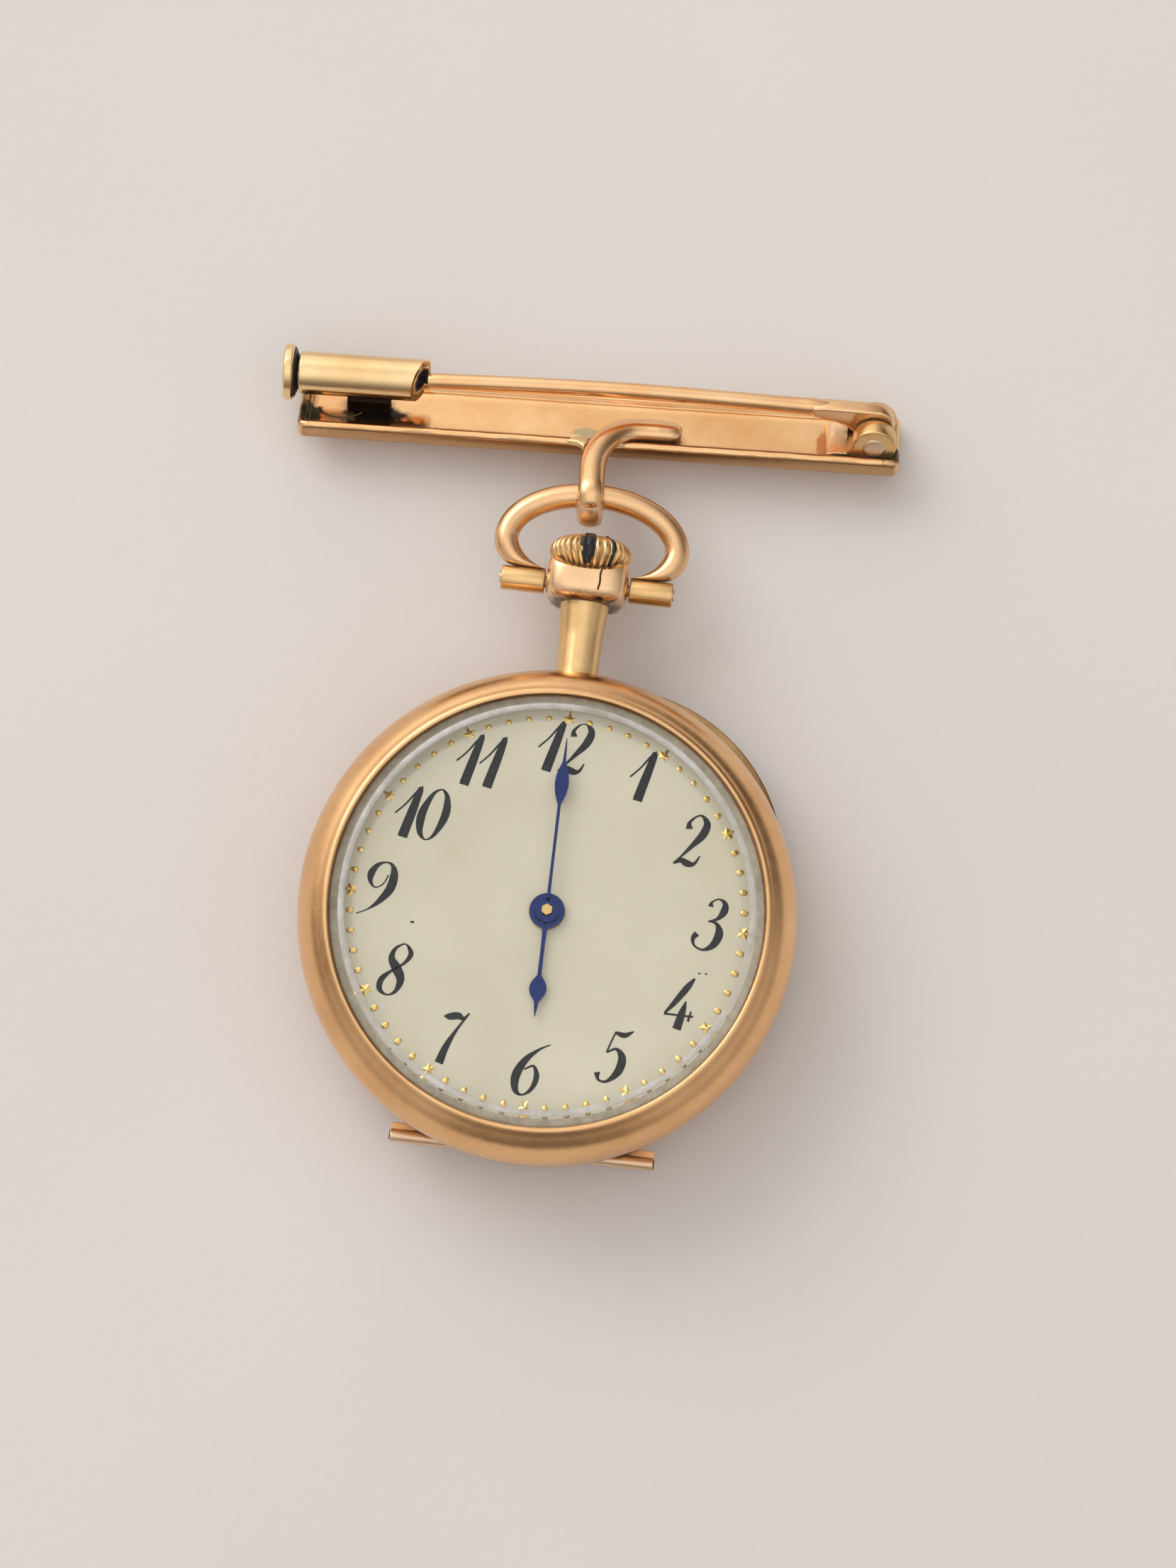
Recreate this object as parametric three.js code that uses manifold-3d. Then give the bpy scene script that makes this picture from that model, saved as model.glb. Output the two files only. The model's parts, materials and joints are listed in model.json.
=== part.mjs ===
// A ladies' open-face fob watch hanging from a bar brooch, dial up. Millimetres, +Z out of the dial,
// +Y towards the crown, origin on the centre of the case back where it rests on a table.
import * as THREE from "three";
import { mergeVertices } from "three/addons/utils/BufferGeometryUtils.js";
import Module from "manifold-3d";

const wasm = await Module();
wasm.setup();

// ---------------------------------------------------------------- driving dimensions

const WELD = 1e-5; // vertices closer than this are one
const ROUND = 40; // sides of the large round pieces
const MEDIUM = 20;
const SMALL = 12;
const TINY = 6;
const EPS = 0.05; // how far a cutting tool reaches past the face it leaves through

const CASE = { radius: 12.05, bottom: 2.45, top: 4.85, seatTop: 5.3, seatRadius: 11.3, bore: 10.25 };
const BEZEL = { radius: 12.25, lip: 10.62, top: 7.68 };
const CRYSTAL = { radius: 10.5, bevel: 9.6 };
const DIAL = { radius: 10.4, bottom: 6.2, top: 6.55, hole: 0.85 };
const COVER = { radius: 12, top: 2.4, flat: 4.5, chord: -10.85 };
const CUVETTE = { radius: 10.9, chord: -10.5 };
const CASE_HINGE = { y: -11.25, z: 2.4, radius: 0.33, bore: 0.17, pin: 0.14, half: 6.5, gap: 0.05 };

const STEM = { z: 3.88, radius: 0.36, inner: 5.2, outer: 17.4, bore: 0.5 };
const BOW = { y: 17, across: 4.45, tall: 2.5, rise: 2.1, wire: 0.56, endAngle: -43 };
const SLEEVE = { radius: 0.61, bore: 0.33, from: 2.13, to: 4.36, pin: 0.29, pinRoot: 1.3 };
const HEAD = { radius: 2.08, bottom: 16.08, top: 18.02, floor: 17.35 };
const CROWN = { flutes: 30, depth: 0.06 };
const LIP = { radius: 9, from: 2.05, inner: 11.7, degrees: 55, offset: 4.1 };

const PLATE = { bottom: 4.6, top: 6.15, radius: 10.2, flange: 10.75 };
const BRIDGE = { bottom: 2.4, top: 3.1, radius: 10.1 };
const MOTION_FLOOR = 5.6;

// The going train: centre of each arbor, seen from the dial.
const AT = {
  centre: [0, 0],
  barrel: [-4.55, 2.63],
  third: [-2.55, -2.55],
  fourth: [0.33, -3.6],
  escape: [1.23, -6.08],
  pallet: [3.22, -5.15],
  balance: [5.58, -4.05],
  crownWheel: [0, 6.2],
  minuteWheel: [0, 2.4],
  click: [-7.3, 5.7],
  cockFoot: [7.6, -0.6],
};

const HANG = 0.08; // how far the hook's ring has slipped back from the middle of the bow's wire
const BROOCH = { droop: 32, yaw: 2.5, at: [-0.19, BOW.y + BOW.rise + BOW.tall - HANG, STEM.z] };
const BAR = { half: 15.3, near: 3.24, far: 7.04, front: -0.15, back: 0.75, floor: 0.4, wall: 0.45 };
const PIN = { s: 5.35, h: 2.33, radius: 0.4, tip: -8.7 };
const TONGUE = { near: 4.85, far: 5.72, gap: 0.06, relief: 12.7 };
const CATCH = { radius: 1.08, bore: 0.8, outer: -15.31, mouth: -8.76, head: 1.42, headThick: 0.45 };
const STAND = { from: -12.9, to: -10.7, near: 4.75, far: 5.95, top: 1.7 };
const RIVET = { x: 13.97, h: 1.2, radius: 0.5, ear: 1.12, eye: 0.95 };
const EARS = { near: 3.8, far: 6.15 };
const HOOK = { x: -0.14, width: 1.3, inner: 0.72, outer: 1.42, tail: 4 };

// ---------------------------------------------------------------- solids

function toSolid(geometry) {
  const bare = geometry.clone();
  bare.deleteAttribute("normal");
  bare.deleteAttribute("uv");
  const merged = mergeVertices(bare, WELD);
  return new wasm.Manifold(
    new wasm.Mesh({
      numProp: 3,
      vertProperties: merged.attributes.position.array,
      triVerts: new Uint32Array(merged.index.array),
    }),
  );
}

function toGeometry(solid) {
  const mesh = solid.getMesh();
  const indexed = new THREE.BufferGeometry();
  indexed.setAttribute("position", new THREE.BufferAttribute(mesh.vertProperties, 3));
  indexed.setIndex(new THREE.BufferAttribute(mesh.triVerts, 1));
  const geometry = indexed.toNonIndexed();
  geometry.computeVertexNormals();
  return geometry;
}

function join(...pieces) {
  const solids = pieces.map(toSolid);
  return toGeometry(solids.slice(1).reduce((whole, piece) => whole.add(piece), solids[0]));
}

function cut(body, ...tools) {
  return toGeometry(tools.reduce((rest, tool) => rest.subtract(toSolid(tool)), toSolid(body)));
}

function common(one, other) {
  return toGeometry(toSolid(one).intersect(toSolid(other)));
}

// ---------------------------------------------------------------- basic shapes

function block(x0, x1, y0, y1, z0, z1) {
  const box = new THREE.BoxGeometry(x1 - x0, y1 - y0, z1 - z0);
  return box.translate((x0 + x1) / 2, (y0 + y1) / 2, (z0 + z1) / 2);
}

// A round bar along Z.
function disc(radius, z0, z1, sides = SMALL, [x, y] = [0, 0]) {
  const bar = new THREE.CylinderGeometry(radius, radius, z1 - z0, sides);
  return bar.rotateX(Math.PI / 2).translate(x, y, (z0 + z1) / 2);
}

// A round bar along X, at height z.
function barAlongX(radius, x0, x1, y, z, sides = SMALL) {
  const bar = new THREE.CylinderGeometry(radius, radius, x1 - x0, sides);
  return bar.rotateZ(Math.PI / 2).translate((x0 + x1) / 2, y, z);
}

// A round bar along Y on the axis of the winding stem.
function barAlongY(radius, y0, y1, sides = SMALL) {
  const bar = new THREE.CylinderGeometry(radius, radius, y1 - y0, sides);
  return bar.translate(0, (y0 + y1) / 2, STEM.z);
}

function lathe(profile, sides) {
  return new THREE.LatheGeometry(
    profile.map(([radius, height]) => new THREE.Vector2(radius, height)),
    sides,
  );
}

// A profile of [radius, z] turned about Z.
function turned(profile, sides = ROUND, [x, y] = [0, 0]) {
  return lathe(profile, sides).rotateX(Math.PI / 2).translate(x, y, 0);
}

// A profile of [radius, y] turned about the axis of the winding stem.
function turnedOnStem(profile, sides) {
  return lathe(profile, sides).translate(0, 0, STEM.z);
}

function plate(outline, z0, z1) {
  const shape = new THREE.Shape(outline.map(([x, y]) => new THREE.Vector2(x, y)));
  const settings = { depth: z1 - z0, bevelEnabled: false };
  return new THREE.ExtrudeGeometry(shape, settings).translate(0, 0, z0);
}

function arc(radius, fromDegrees, toDegrees, steps, [x, y] = [0, 0]) {
  return Array.from({ length: steps + 1 }, (_, i) => {
    const angle = THREE.MathUtils.degToRad(fromDegrees + ((toDegrees - fromDegrees) * i) / steps);
    return [x + radius * Math.cos(angle), y + radius * Math.sin(angle)];
  });
}

function heading([x0, y0], [x1, y1]) {
  return THREE.MathUtils.radToDeg(Math.atan2(y1 - y0, x1 - x0));
}

// The outline round two circles of different radius.
function link(from, fromRadius, to, toRadius) {
  const way = heading(from, to);
  return [
    ...arc(fromRadius, way + 90, way + 270, 5, from),
    ...arc(toRadius, way - 90, way + 90, 5, to),
  ];
}

// A ribbon wound outwards from one radius to another.
function spiral(inner, outer, turns, thick, z0, z1, [x, y]) {
  const steps = Math.round(turns * 14);
  const side = (offset) =>
    Array.from({ length: steps + 1 }, (_, i) => {
      const angle = (turns * 2 * Math.PI * i) / steps;
      const radius = inner + ((outer - inner) * i) / steps + offset;
      return [x + radius * Math.cos(angle), y + radius * Math.sin(angle)];
    });
  return plate([...side(thick / 2), ...side(-thick / 2).reverse()], z0, z1);
}

// Pointed teeth: the module sets their size, and the tips stay short so meshing wheels run free.
function gear(teeth, pitchRadius, z0, z1, centre = [0, 0], towards = 0, gapThere = false) {
  const size = (2 * pitchRadius) / teeth;
  const first = THREE.MathUtils.degToRad(towards) + (gapThere ? Math.PI / teeth : 0);
  const outline = Array.from({ length: 2 * teeth }, (_, i) => {
    const radius = pitchRadius + (i % 2 ? -0.65 : 0.3) * size;
    const angle = first + (i * Math.PI) / teeth;
    return [centre[0] + radius * Math.cos(angle), centre[1] + radius * Math.sin(angle)];
  });
  return plate(outline, z0, z1);
}

// An arbor with a thin pivot at each end.
function arbor(radius, z0, z1, centre, pivot = 0.1, reach = 0.4) {
  const profile = [
    [0, z0 - reach],
    [pivot, z0 - reach],
    [pivot, z0],
    [radius, z0],
    [radius, z1],
    [pivot, z1],
    [pivot, z1 + reach],
    [0, z1 + reach],
  ];
  return turned(profile, TINY, centre);
}

function screw(centre, headRadius, headBottom, shankTop, shankRadius = 0.28) {
  const headHeight = 0.22;
  const headTop = headBottom + headHeight;
  const body = join(
    disc(headRadius, headBottom, headTop, SMALL, centre),
    disc(shankRadius, headTop - EPS, shankTop, TINY, centre),
  );
  const slot = block(-1, 1, -0.07, 0.07, headBottom - EPS, headBottom + 0.1);
  return cut(body, slot.translate(centre[0], centre[1], 0));
}

// ---------------------------------------------------------------- case

function knuckle(x0, x1) {
  const { y, z, radius, bore } = CASE_HINGE;
  return cut(barAlongX(radius, x0, x1, y, z), barAlongX(bore, x0 - EPS, x1 + EPS, y, z, TINY));
}

function caseBand() {
  const { y, z, radius, half } = CASE_HINGE;
  const ring = turned([
    [11, CASE.bottom],
    [CASE.radius, CASE.bottom + 0.1],
    [CASE.radius, CASE.top],
    [CASE.seatRadius, CASE.top],
    [CASE.seatRadius, CASE.seatTop],
    [CASE.bore, CASE.seatTop],
    [CASE.bore, 2.9],
    [11, 2.9],
    [11, CASE.bottom],
  ]);
  const channel = barAlongX(radius + 0.04, -half - EPS, half + EPS, y, z, MEDIUM);
  const open = cut(ring, channel, barAlongY(STEM.bore, 9, 13));
  const web = block(-1.2, 1.2, y - 0.2, y + 0.15, z + 0.2, 3);
  const bare = barAlongX(CASE_HINGE.bore, -2, 2, y, z, TINY);
  return join(open, cut(join(knuckle(-1.2, 1.2), web), bare));
}

function bezel() {
  return turned([
    [11.36, 4.9],
    [12.08, 4.9],
    [BEZEL.radius, 5.2],
    [12.05, 5.9],
    [11.4, 6.95],
    [10.8, BEZEL.top],
    [BEZEL.lip, BEZEL.top - 0.06],
    [10.58, 7.04],
    [10.15, 6.98],
    [10.15, 6.75],
    [11, 6.65],
    [11.36, 5.9],
    [11.36, 4.9],
  ]);
}

function crystal() {
  return turned([
    [0, 7.6],
    [9.6, 7.22],
    [10.1, 7.05],
    [CRYSTAL.radius, 7.1],
    [CRYSTAL.radius, 7.5],
    [CRYSTAL.bevel, 7.92],
    [5, 8.16],
    [0, 8.25],
  ]);
}

function backCover() {
  const shell = turned([
    [0, 0],
    [COVER.flat, 0],
    [8, 0.38],
    [10.6, 1.15],
    [11.75, 1.9],
    [COVER.radius, COVER.top],
    [11.5, COVER.top],
    [11.2, 1.95],
    [10.2, 1.5],
    [7.8, 0.86],
    [4.4, 0.48],
    [0, 0.48],
  ]);
  const lipWay = THREE.MathUtils.degToRad(LIP.degrees);
  const lipCentre = [LIP.offset * Math.cos(lipWay), LIP.offset * Math.sin(lipWay)];
  const lip = cut(
    disc(LIP.radius, LIP.from, COVER.top, ROUND, lipCentre),
    disc(LIP.inner, LIP.from - EPS, COVER.top + EPS, ROUND),
  );
  const trimmed = cut(shell, block(-13, 13, -13, COVER.chord, -1, 3));
  const { y, half } = CASE_HINGE;
  const bore = barAlongX(CASE_HINGE.bore, -half - 1, half + 1, y, CASE_HINGE.z, TINY);
  const leaf = (x0, x1) => cut(join(knuckle(x0, x1), block(x0, x1, -11.2, -10.6, 2.1, 2.38)), bore);
  return join(trimmed, lip, leaf(-half, -3.2), leaf(3.2, half));
}

function cuvette() {
  const shell = turned([
    [0, 0.75],
    [4.4, 0.75],
    [7.8, 1.12],
    [10.2, 1.76],
    [CUVETTE.radius, 2.1],
    [CUVETTE.radius, 2.38],
    [10.1, 2.02],
    [7.8, 1.37],
    [4.4, 1],
    [0, 1],
  ]);
  const trimmed = cut(shell, block(-13, 13, -13, CUVETTE.chord, 0, 3));
  const { y, z } = CASE_HINGE;
  const bore = barAlongX(CASE_HINGE.bore, -4, 4, y, z, TINY);
  const leaf = (x0, x1) => cut(join(knuckle(x0, x1), block(x0, x1, -11.2, -10.2, 2.14, 2.36)), bore);
  return join(trimmed, leaf(-3.15, -1.25), leaf(1.25, 3.15));
}

// The span from near to far on one side of the stem, +1 for the right and -1 for the left.
function onSide(side, near, far) {
  return side > 0 ? [near, far] : [-far, -near];
}

function pendant() {
  const body = turnedOnStem(
    [
      [STEM.bore, 11.9],
      [0.99, 11.9],
      [1.04, 14],
      [1.2, 15.9],
      [1.2, HEAD.bottom],
      [HEAD.radius, HEAD.bottom],
      [HEAD.radius, HEAD.top],
      [1.87, HEAD.top],
      [1.5, HEAD.floor],
      [STEM.bore, HEAD.floor],
      [STEM.bore, 11.9],
    ],
    MEDIUM,
  );
  const scoop = (side) => barAlongX(1.5, -3, 3, 18.87, STEM.z + side * 2.4, MEDIUM);
  const pinHole = (side) => {
    const [x0, x1] = onSide(side, SLEEVE.pinRoot - 0.1, HEAD.radius + 0.1);
    return barAlongX(SLEEVE.pin + 0.03, x0, x1, BOW.y, STEM.z, TINY);
  };
  const band = disc(CASE.radius + 0.03, 0, 8, ROUND);
  return cut(body, scoop(1), scoop(-1), pinHole(1), pinHole(-1), band);
}

function crown() {
  const knob = turnedOnStem(
    [
      [0, 17.43],
      [1.3, 17.43],
      [1.6, 17.85],
      [1.82, 18.2],
      [1.97, 18.42],
      [2.02, 18.62],
      [1.93, 18.94],
      [1.6, 19.24],
      [0.9, 19.42],
      [0, 19.46],
    ],
    2 * CROWN.flutes,
  );
  return fluted(knob, 1.25);
}

// Every other meridian of a turned knob is pushed in, to make its flutes.
function fluted(knob, fromRadius) {
  const place = knob.attributes.position;
  const step = Math.PI / CROWN.flutes;
  for (let i = 0; i < place.count; i += 1) {
    const x = place.getX(i);
    const z = place.getZ(i) - STEM.z;
    const radius = Math.hypot(x, z);
    const meridian = Math.round(Math.atan2(z, x) / step);
    if (radius > fromRadius && meridian % 2 !== 0) {
      const scale = 1 - CROWN.depth;
      place.setXYZ(i, x * scale, place.getY(i), STEM.z + z * scale);
    }
  }
  return knob;
}

function windingStem() {
  return turnedOnStem(
    [
      [0, STEM.inner],
      [STEM.radius, STEM.inner],
      [STEM.radius, 8.75],
      [0.24, 8.75],
      [0.24, 9.1],
      [STEM.radius, 9.1],
      [STEM.radius, STEM.outer],
      [0, STEM.outer],
    ],
    SMALL,
  );
}

class BowCurve extends THREE.Curve {
  getPoint(t, target = new THREE.Vector3()) {
    const angle = THREE.MathUtils.degToRad(BOW.endAngle + t * (180 - 2 * BOW.endAngle));
    const y = BOW.y + BOW.rise + BOW.tall * Math.sin(angle);
    return target.set(BOW.across * Math.cos(angle), y, STEM.z);
  }
}

function bow() {
  const wire = new THREE.Shape(
    arc(BOW.wire, 0, 324, 9).map(([x, y]) => new THREE.Vector2(x, y)),
  );
  const ring = new THREE.ExtrudeGeometry(wire, { steps: 36, extrudePath: new BowCurve() });
  const seat = (side) => {
    const [x0, x1] = onSide(side, SLEEVE.from - 0.1, SLEEVE.to + 0.1);
    return barAlongX(SLEEVE.radius + 0.02, x0, x1, BOW.y, STEM.z, MEDIUM);
  };
  const below = block(-6, 6, BOW.y - 2, BOW.y, 0, 8);
  return cut(ring, seat(-1), seat(1), below);
}

function bowSleeve(side) {
  const [x0, x1] = onSide(side, SLEEVE.from, SLEEVE.to);
  const bore = barAlongX(SLEEVE.bore, x0 - EPS, x1 + EPS, BOW.y, STEM.z, TINY);
  return cut(barAlongX(SLEEVE.radius, x0, x1, BOW.y, STEM.z, MEDIUM), bore);
}

function bowPin(side) {
  const [x0, x1] = onSide(side, SLEEVE.pinRoot, SLEEVE.to + 0.05);
  return barAlongX(SLEEVE.pin, x0, x1, BOW.y, STEM.z, TINY);
}

// ---------------------------------------------------------------- dial and hands

function dial() {
  const enamel = turned([
    [DIAL.hole, DIAL.bottom],
    [DIAL.radius, DIAL.bottom],
    [DIAL.radius, 6.45],
    [10.2, DIAL.top],
    [DIAL.hole, DIAL.top],
    [DIAL.hole, DIAL.bottom],
  ]);
  const foot = (centre) => disc(0.35, 5.7, DIAL.bottom + 0.1, TINY, centre);
  return join(enamel, foot([8, 0]), foot([-7, -5]));
}

// A hand along +Y, with a hub, a slim stem and a pear-shaped head.
function hand(hubRadius, hole, length, width, z0, z1) {
  const half = [
    [0.12, hubRadius * 0.9],
    [0.1, length * 0.62],
    [width, length * 0.76],
    [width * 0.55, length * 0.86],
    [0.03, length],
  ];
  const mirrored = half.map(([x, y]) => [-x, y]).reverse();
  const blade = plate([...half, ...mirrored], z0, z1);
  return cut(join(disc(hubRadius, z0, z1, MEDIUM), blade), disc(hole, z0 - 1, z1 + 1, SMALL));
}

// ---------------------------------------------------------------- movement: plate and bridges

const BARREL_PILLARS = [
  [[3.9, 8.2], 1],
  [[-2.6, 8.6], 0.8],
  [[-8.35, -3.5], 0.8],
];
const TRAIN_PILLARS = [
  [[-4.6, -8], 0.8],
  [[4.3, -8.6], 0.5],
];
const CASE_SCREWS = [arc(9.85, 20, 20, 1)[0], arc(9.85, -55, -55, 1)[0]];

function mainPlate() {
  const blank = turned([
    [0, PLATE.bottom],
    [PLATE.radius, PLATE.bottom],
    [PLATE.radius, 5.34],
    [PLATE.flange, 5.34],
    [PLATE.flange, PLATE.top],
    [0, PLATE.top],
  ]);
  const pivots = ["third", "fourth", "escape", "pallet", "balance"];
  const top = PLATE.top + EPS;
  const body = cut(
    blank,
    disc(4.75, 4, 5.2, MEDIUM, AT.barrel),
    join(disc(2.2, MOTION_FLOOR, top, MEDIUM), disc(2.1, MOTION_FLOOR, top, MEDIUM, AT.minuteWheel)),
    disc(0.33, 4, 7, TINY),
    block(-1.2, 1.2, 7.1, 8.5, 4, 5),
    disc(0.4, 5.6, 7, TINY, [8, 0]),
    disc(0.4, 5.6, 7, TINY, [-7, -5]),
    disc(0.25, 4.5, 5, TINY, [2.2, 9.05]),
    ...CASE_SCREWS.map((centre) => disc(0.3, 4.5, 5.2, TINY, centre)),
    ...pivots.map((name) => disc(0.16, 4.5, 5.05, TINY, AT[name])),
  );
  return join(body, disc(0.17, MOTION_FLOOR - 0.1, 6.12, TINY, AT.minuteWheel));
}

function pillared(outline, pillars) {
  const posts = pillars.map(([centre, radius]) => disc(radius, BRIDGE.top - EPS, 4.58, SMALL, centre));
  return join(plate(outline, BRIDGE.bottom, BRIDGE.top), ...posts);
}

function barrelBridge() {
  const outline = [
    ...arc(BRIDGE.radius, 62, 206, 20),
    [-3.6, -0.25],
    [-1.2, 1.55],
    [1.6, 1.55],
    [3.4, 4],
  ];
  return cut(
    pillared(outline, BARREL_PILLARS),
    disc(0.5, 2, 4, SMALL, AT.barrel),
    disc(2.45, 2, 2.85, MEDIUM, AT.crownWheel),
    disc(0.3, 2, 4, TINY, AT.crownWheel),
    disc(0.3, 2, 3.5, TINY, BARREL_PILLARS[0][0]),
    block(-1.2, 1.2, 7.1, 8.5, 2, 3.2),
  );
}

function trainBridge() {
  const outline = [
    ...arc(BRIDGE.radius, 210, 300, 13),
    [2.3, -6.9],
    [2.2, -3.5],
    [1.5, -1.5],
    [1.2, 1.1],
    [-0.9, 1.1],
    [-3.4, -0.75],
  ];
  const pivots = ["centre", "third", "fourth", "escape"];
  return cut(
    pillared(outline, TRAIN_PILLARS),
    ...pivots.map((name) => disc(0.16, 2, 3.5, TINY, AT[name])),
    disc(0.3, 2, 3.5, TINY, TRAIN_PILLARS[0][0]),
  );
}

function balanceCock() {
  const arm = plate(link(AT.balance, 1.2, AT.cockFoot, 1.1), 1.85, 2.35);
  const boss = disc(0.6, 1.45, 1.9, SMALL, AT.balance);
  const foot = disc(1.1, 2.3, 4.58, SMALL, AT.cockFoot);
  const staffHole = disc(0.2, 1.98, 2.4, TINY, AT.balance);
  return cut(join(arm, boss, foot), staffHole, disc(0.3, 1, 3.2, TINY, AT.cockFoot));
}

function palletBridge() {
  const ends = [
    [4, -7.2],
    [3.6, -3.2],
  ];
  const arms = ends.map((end) => plate(link(AT.pallet, 0.45, end, 0.4), 3.35, 3.65));
  const posts = ends.map((end) => disc(0.35, 3.6, 4.58, TINY, end));
  return cut(join(...arms, ...posts), disc(0.14, 3, 4, TINY, AT.pallet));
}

// ---------------------------------------------------------------- movement: power

function barrel() {
  const floor = gear(70, 4.6, 4, 4.25, AT.barrel, heading(AT.barrel, AT.centre));
  const wall = turned(
    [
      [4.1, 4.2],
      [4.35, 4.2],
      [4.35, 5.05],
      [4.1, 5.05],
      [4.1, 4.2],
    ],
    MEDIUM,
    AT.barrel,
  );
  return cut(join(floor, wall), disc(0.5, 3.5, 4.5, SMALL, AT.barrel));
}

function barrelLid() {
  return cut(disc(4.05, 4.9, 5.05, MEDIUM, AT.barrel), disc(0.5, 4.8, 5.2, SMALL, AT.barrel));
}

function barrelArbor() {
  return turned(
    [
      [0, 2.1],
      [0.45, 2.1],
      [0.45, 4.3],
      [1, 4.3],
      [1, 4.85],
      [0.45, 4.85],
      [0.45, 5.15],
      [0, 5.15],
    ],
    SMALL,
    AT.barrel,
  );
}

function ratchetWheel() {
  const teeth = gear(30, 3.47, 2.1, 2.35, AT.barrel, heading(AT.barrel, AT.crownWheel), true);
  return cut(teeth, disc(0.48, 2, 3, SMALL, AT.barrel));
}

function crownWheel() {
  const teeth = gear(20, 2.31, 2.1, 2.8, AT.crownWheel, heading(AT.crownWheel, AT.barrel));
  return cut(teeth, disc(0.32, 2, 3, TINY, AT.crownWheel));
}

function click() {
  return plate(link(AT.click, 0.42, [-6.2, 6.55], 0.2), 2.1, 2.33);
}

function clickSpring() {
  return plate(link([-8.9, 2.9], 0.3, [-8.35, 5.2], 0.1), 2.1, 2.33);
}

// ---------------------------------------------------------------- movement: going train

function centreWheel() {
  const wheel = gear(64, 3.2, 3.75, 3.9, AT.centre, heading(AT.centre, AT.third));
  const pinion = gear(10, 0.657, 3.85, 4.5, AT.centre, heading(AT.centre, AT.barrel), true);
  const post = turned(
    [
      [0, 2.6],
      [0.12, 2.6],
      [0.12, 3.15],
      [0.28, 3.15],
      [0.28, 7.3],
      [0, 7.3],
    ],
    TINY,
  );
  return join(wheel, pinion, post);
}

// A wheel and the pinion that drives it, on one arbor.
function wheelAndPinion(name, wheel, pinion) {
  const centre = AT[name];
  return join(
    gear(wheel.teeth, wheel.radius, ...wheel.z, centre, heading(centre, AT[wheel.drives])),
    gear(pinion.teeth, pinion.radius, ...pinion.z, centre, heading(centre, AT[pinion.driver]), true),
    arbor(0.2, 3.15, 4.55, centre),
  );
}

function thirdWheel() {
  return wheelAndPinion(
    "third",
    { teeth: 60, radius: 2.7, z: [3.35, 3.5], drives: "fourth" },
    { teeth: 8, radius: 0.4, z: [3.45, 4], driver: "centre" },
  );
}

function fourthWheel() {
  return wheelAndPinion(
    "fourth",
    { teeth: 60, radius: 2.4, z: [4.15, 4.3], drives: "escape" },
    { teeth: 8, radius: 0.36, z: [3.25, 3.6], driver: "third" },
  );
}

function escapeWheel() {
  return wheelAndPinion(
    "escape",
    { teeth: 15, radius: 1.75, z: [3.75, 3.9], drives: "pallet" },
    { teeth: 6, radius: 0.24, z: [4, 4.45], driver: "fourth" },
  );
}

function palletFork() {
  const way = THREE.MathUtils.degToRad(heading(AT.pallet, AT.balance));
  const lever = block(-0.2, 2.1, -0.12, 0.12, 3.95, 4.1);
  const arms = block(-0.9, -0.6, -1.25, 1.25, 3.95, 4.1);
  const neck = block(-0.8, 0, -0.15, 0.15, 3.95, 4.1);
  const flat = join(lever, arms, neck, disc(0.34, 3.95, 4.1, TINY));
  const turnedFlat = flat.rotateZ(way).translate(AT.pallet[0], AT.pallet[1], 0);
  return join(turnedFlat, arbor(0.17, 3.7, 4.55, AT.pallet, 0.09, 0.3));
}

function balanceWheel() {
  const rim = turned(
    [
      [2.45, 2.97],
      [2.8, 2.97],
      [2.8, 3.27],
      [2.45, 3.27],
      [2.45, 2.97],
    ],
    MEDIUM,
    AT.balance,
  );
  const [x, y] = AT.balance;
  const arms = block(x - 2.6, x + 2.6, y - 0.18, y + 0.18, 3, 3.14);
  const roller = disc(0.42, 3.7, 3.88, SMALL, AT.balance);
  return join(rim, arms, roller, arbor(0.15, 2.4, 4.55, AT.balance, 0.1, 0.35));
}

function hairspring() {
  return spiral(0.35, 1.65, 3, 0.09, 2.68, 2.88, AT.balance);
}

function regulator() {
  const tip = [AT.balance[0] - 1.7, AT.balance[1] + 1.7];
  const body = join(disc(0.95, 1.5, 1.7, SMALL, AT.balance), plate(link(AT.balance, 0.3, tip, 0.1), 1.5, 1.7));
  return cut(body, disc(0.64, 1.3, 2, SMALL, AT.balance));
}

// ---------------------------------------------------------------- movement: motion work and keyless work

function cannonPinion() {
  const leaves = gear(10, 0.6, 5.65, 5.8, AT.centre, heading(AT.centre, AT.minuteWheel), true);
  return cut(join(leaves, disc(0.48, 5.65, 7, SMALL)), disc(0.3, 5, 8, SMALL));
}

function minuteWheel() {
  const wheel = gear(30, 1.8, 5.65, 5.8, AT.minuteWheel, heading(AT.minuteWheel, AT.centre));
  const pinion = gear(8, 0.48, 5.75, 6.1, AT.minuteWheel, heading(AT.minuteWheel, AT.centre), true);
  return cut(join(wheel, pinion), disc(0.19, 5, 7, TINY, AT.minuteWheel));
}

function hourWheel() {
  const wheel = gear(32, 1.92, 5.9, 6.02, AT.centre, heading(AT.centre, AT.minuteWheel));
  return cut(join(wheel, disc(0.74, 5.95, 6.73, SMALL)), disc(0.54, 5, 7, SMALL));
}

function stemPinion(teeth, radius, y0, y1) {
  const toothed = gear(teeth, radius, y0, y1).rotateX(-Math.PI / 2).translate(0, 0, STEM.z);
  return cut(toothed, barAlongY(0.4, y0 - 1, y1 + 1));
}

function settingLever() {
  const pivot = [2.2, 9.05];
  return join(plate(link(pivot, 0.3, [0, 8.95], 0.13), 4.3, 4.5), disc(0.2, 4.4, 4.8, TINY, pivot));
}

// ---------------------------------------------------------------- brooch, in its own frame:
// X along the bar, Y away from the watch, Z out of the bar's back, origin at the bow wire it hangs on

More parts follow.
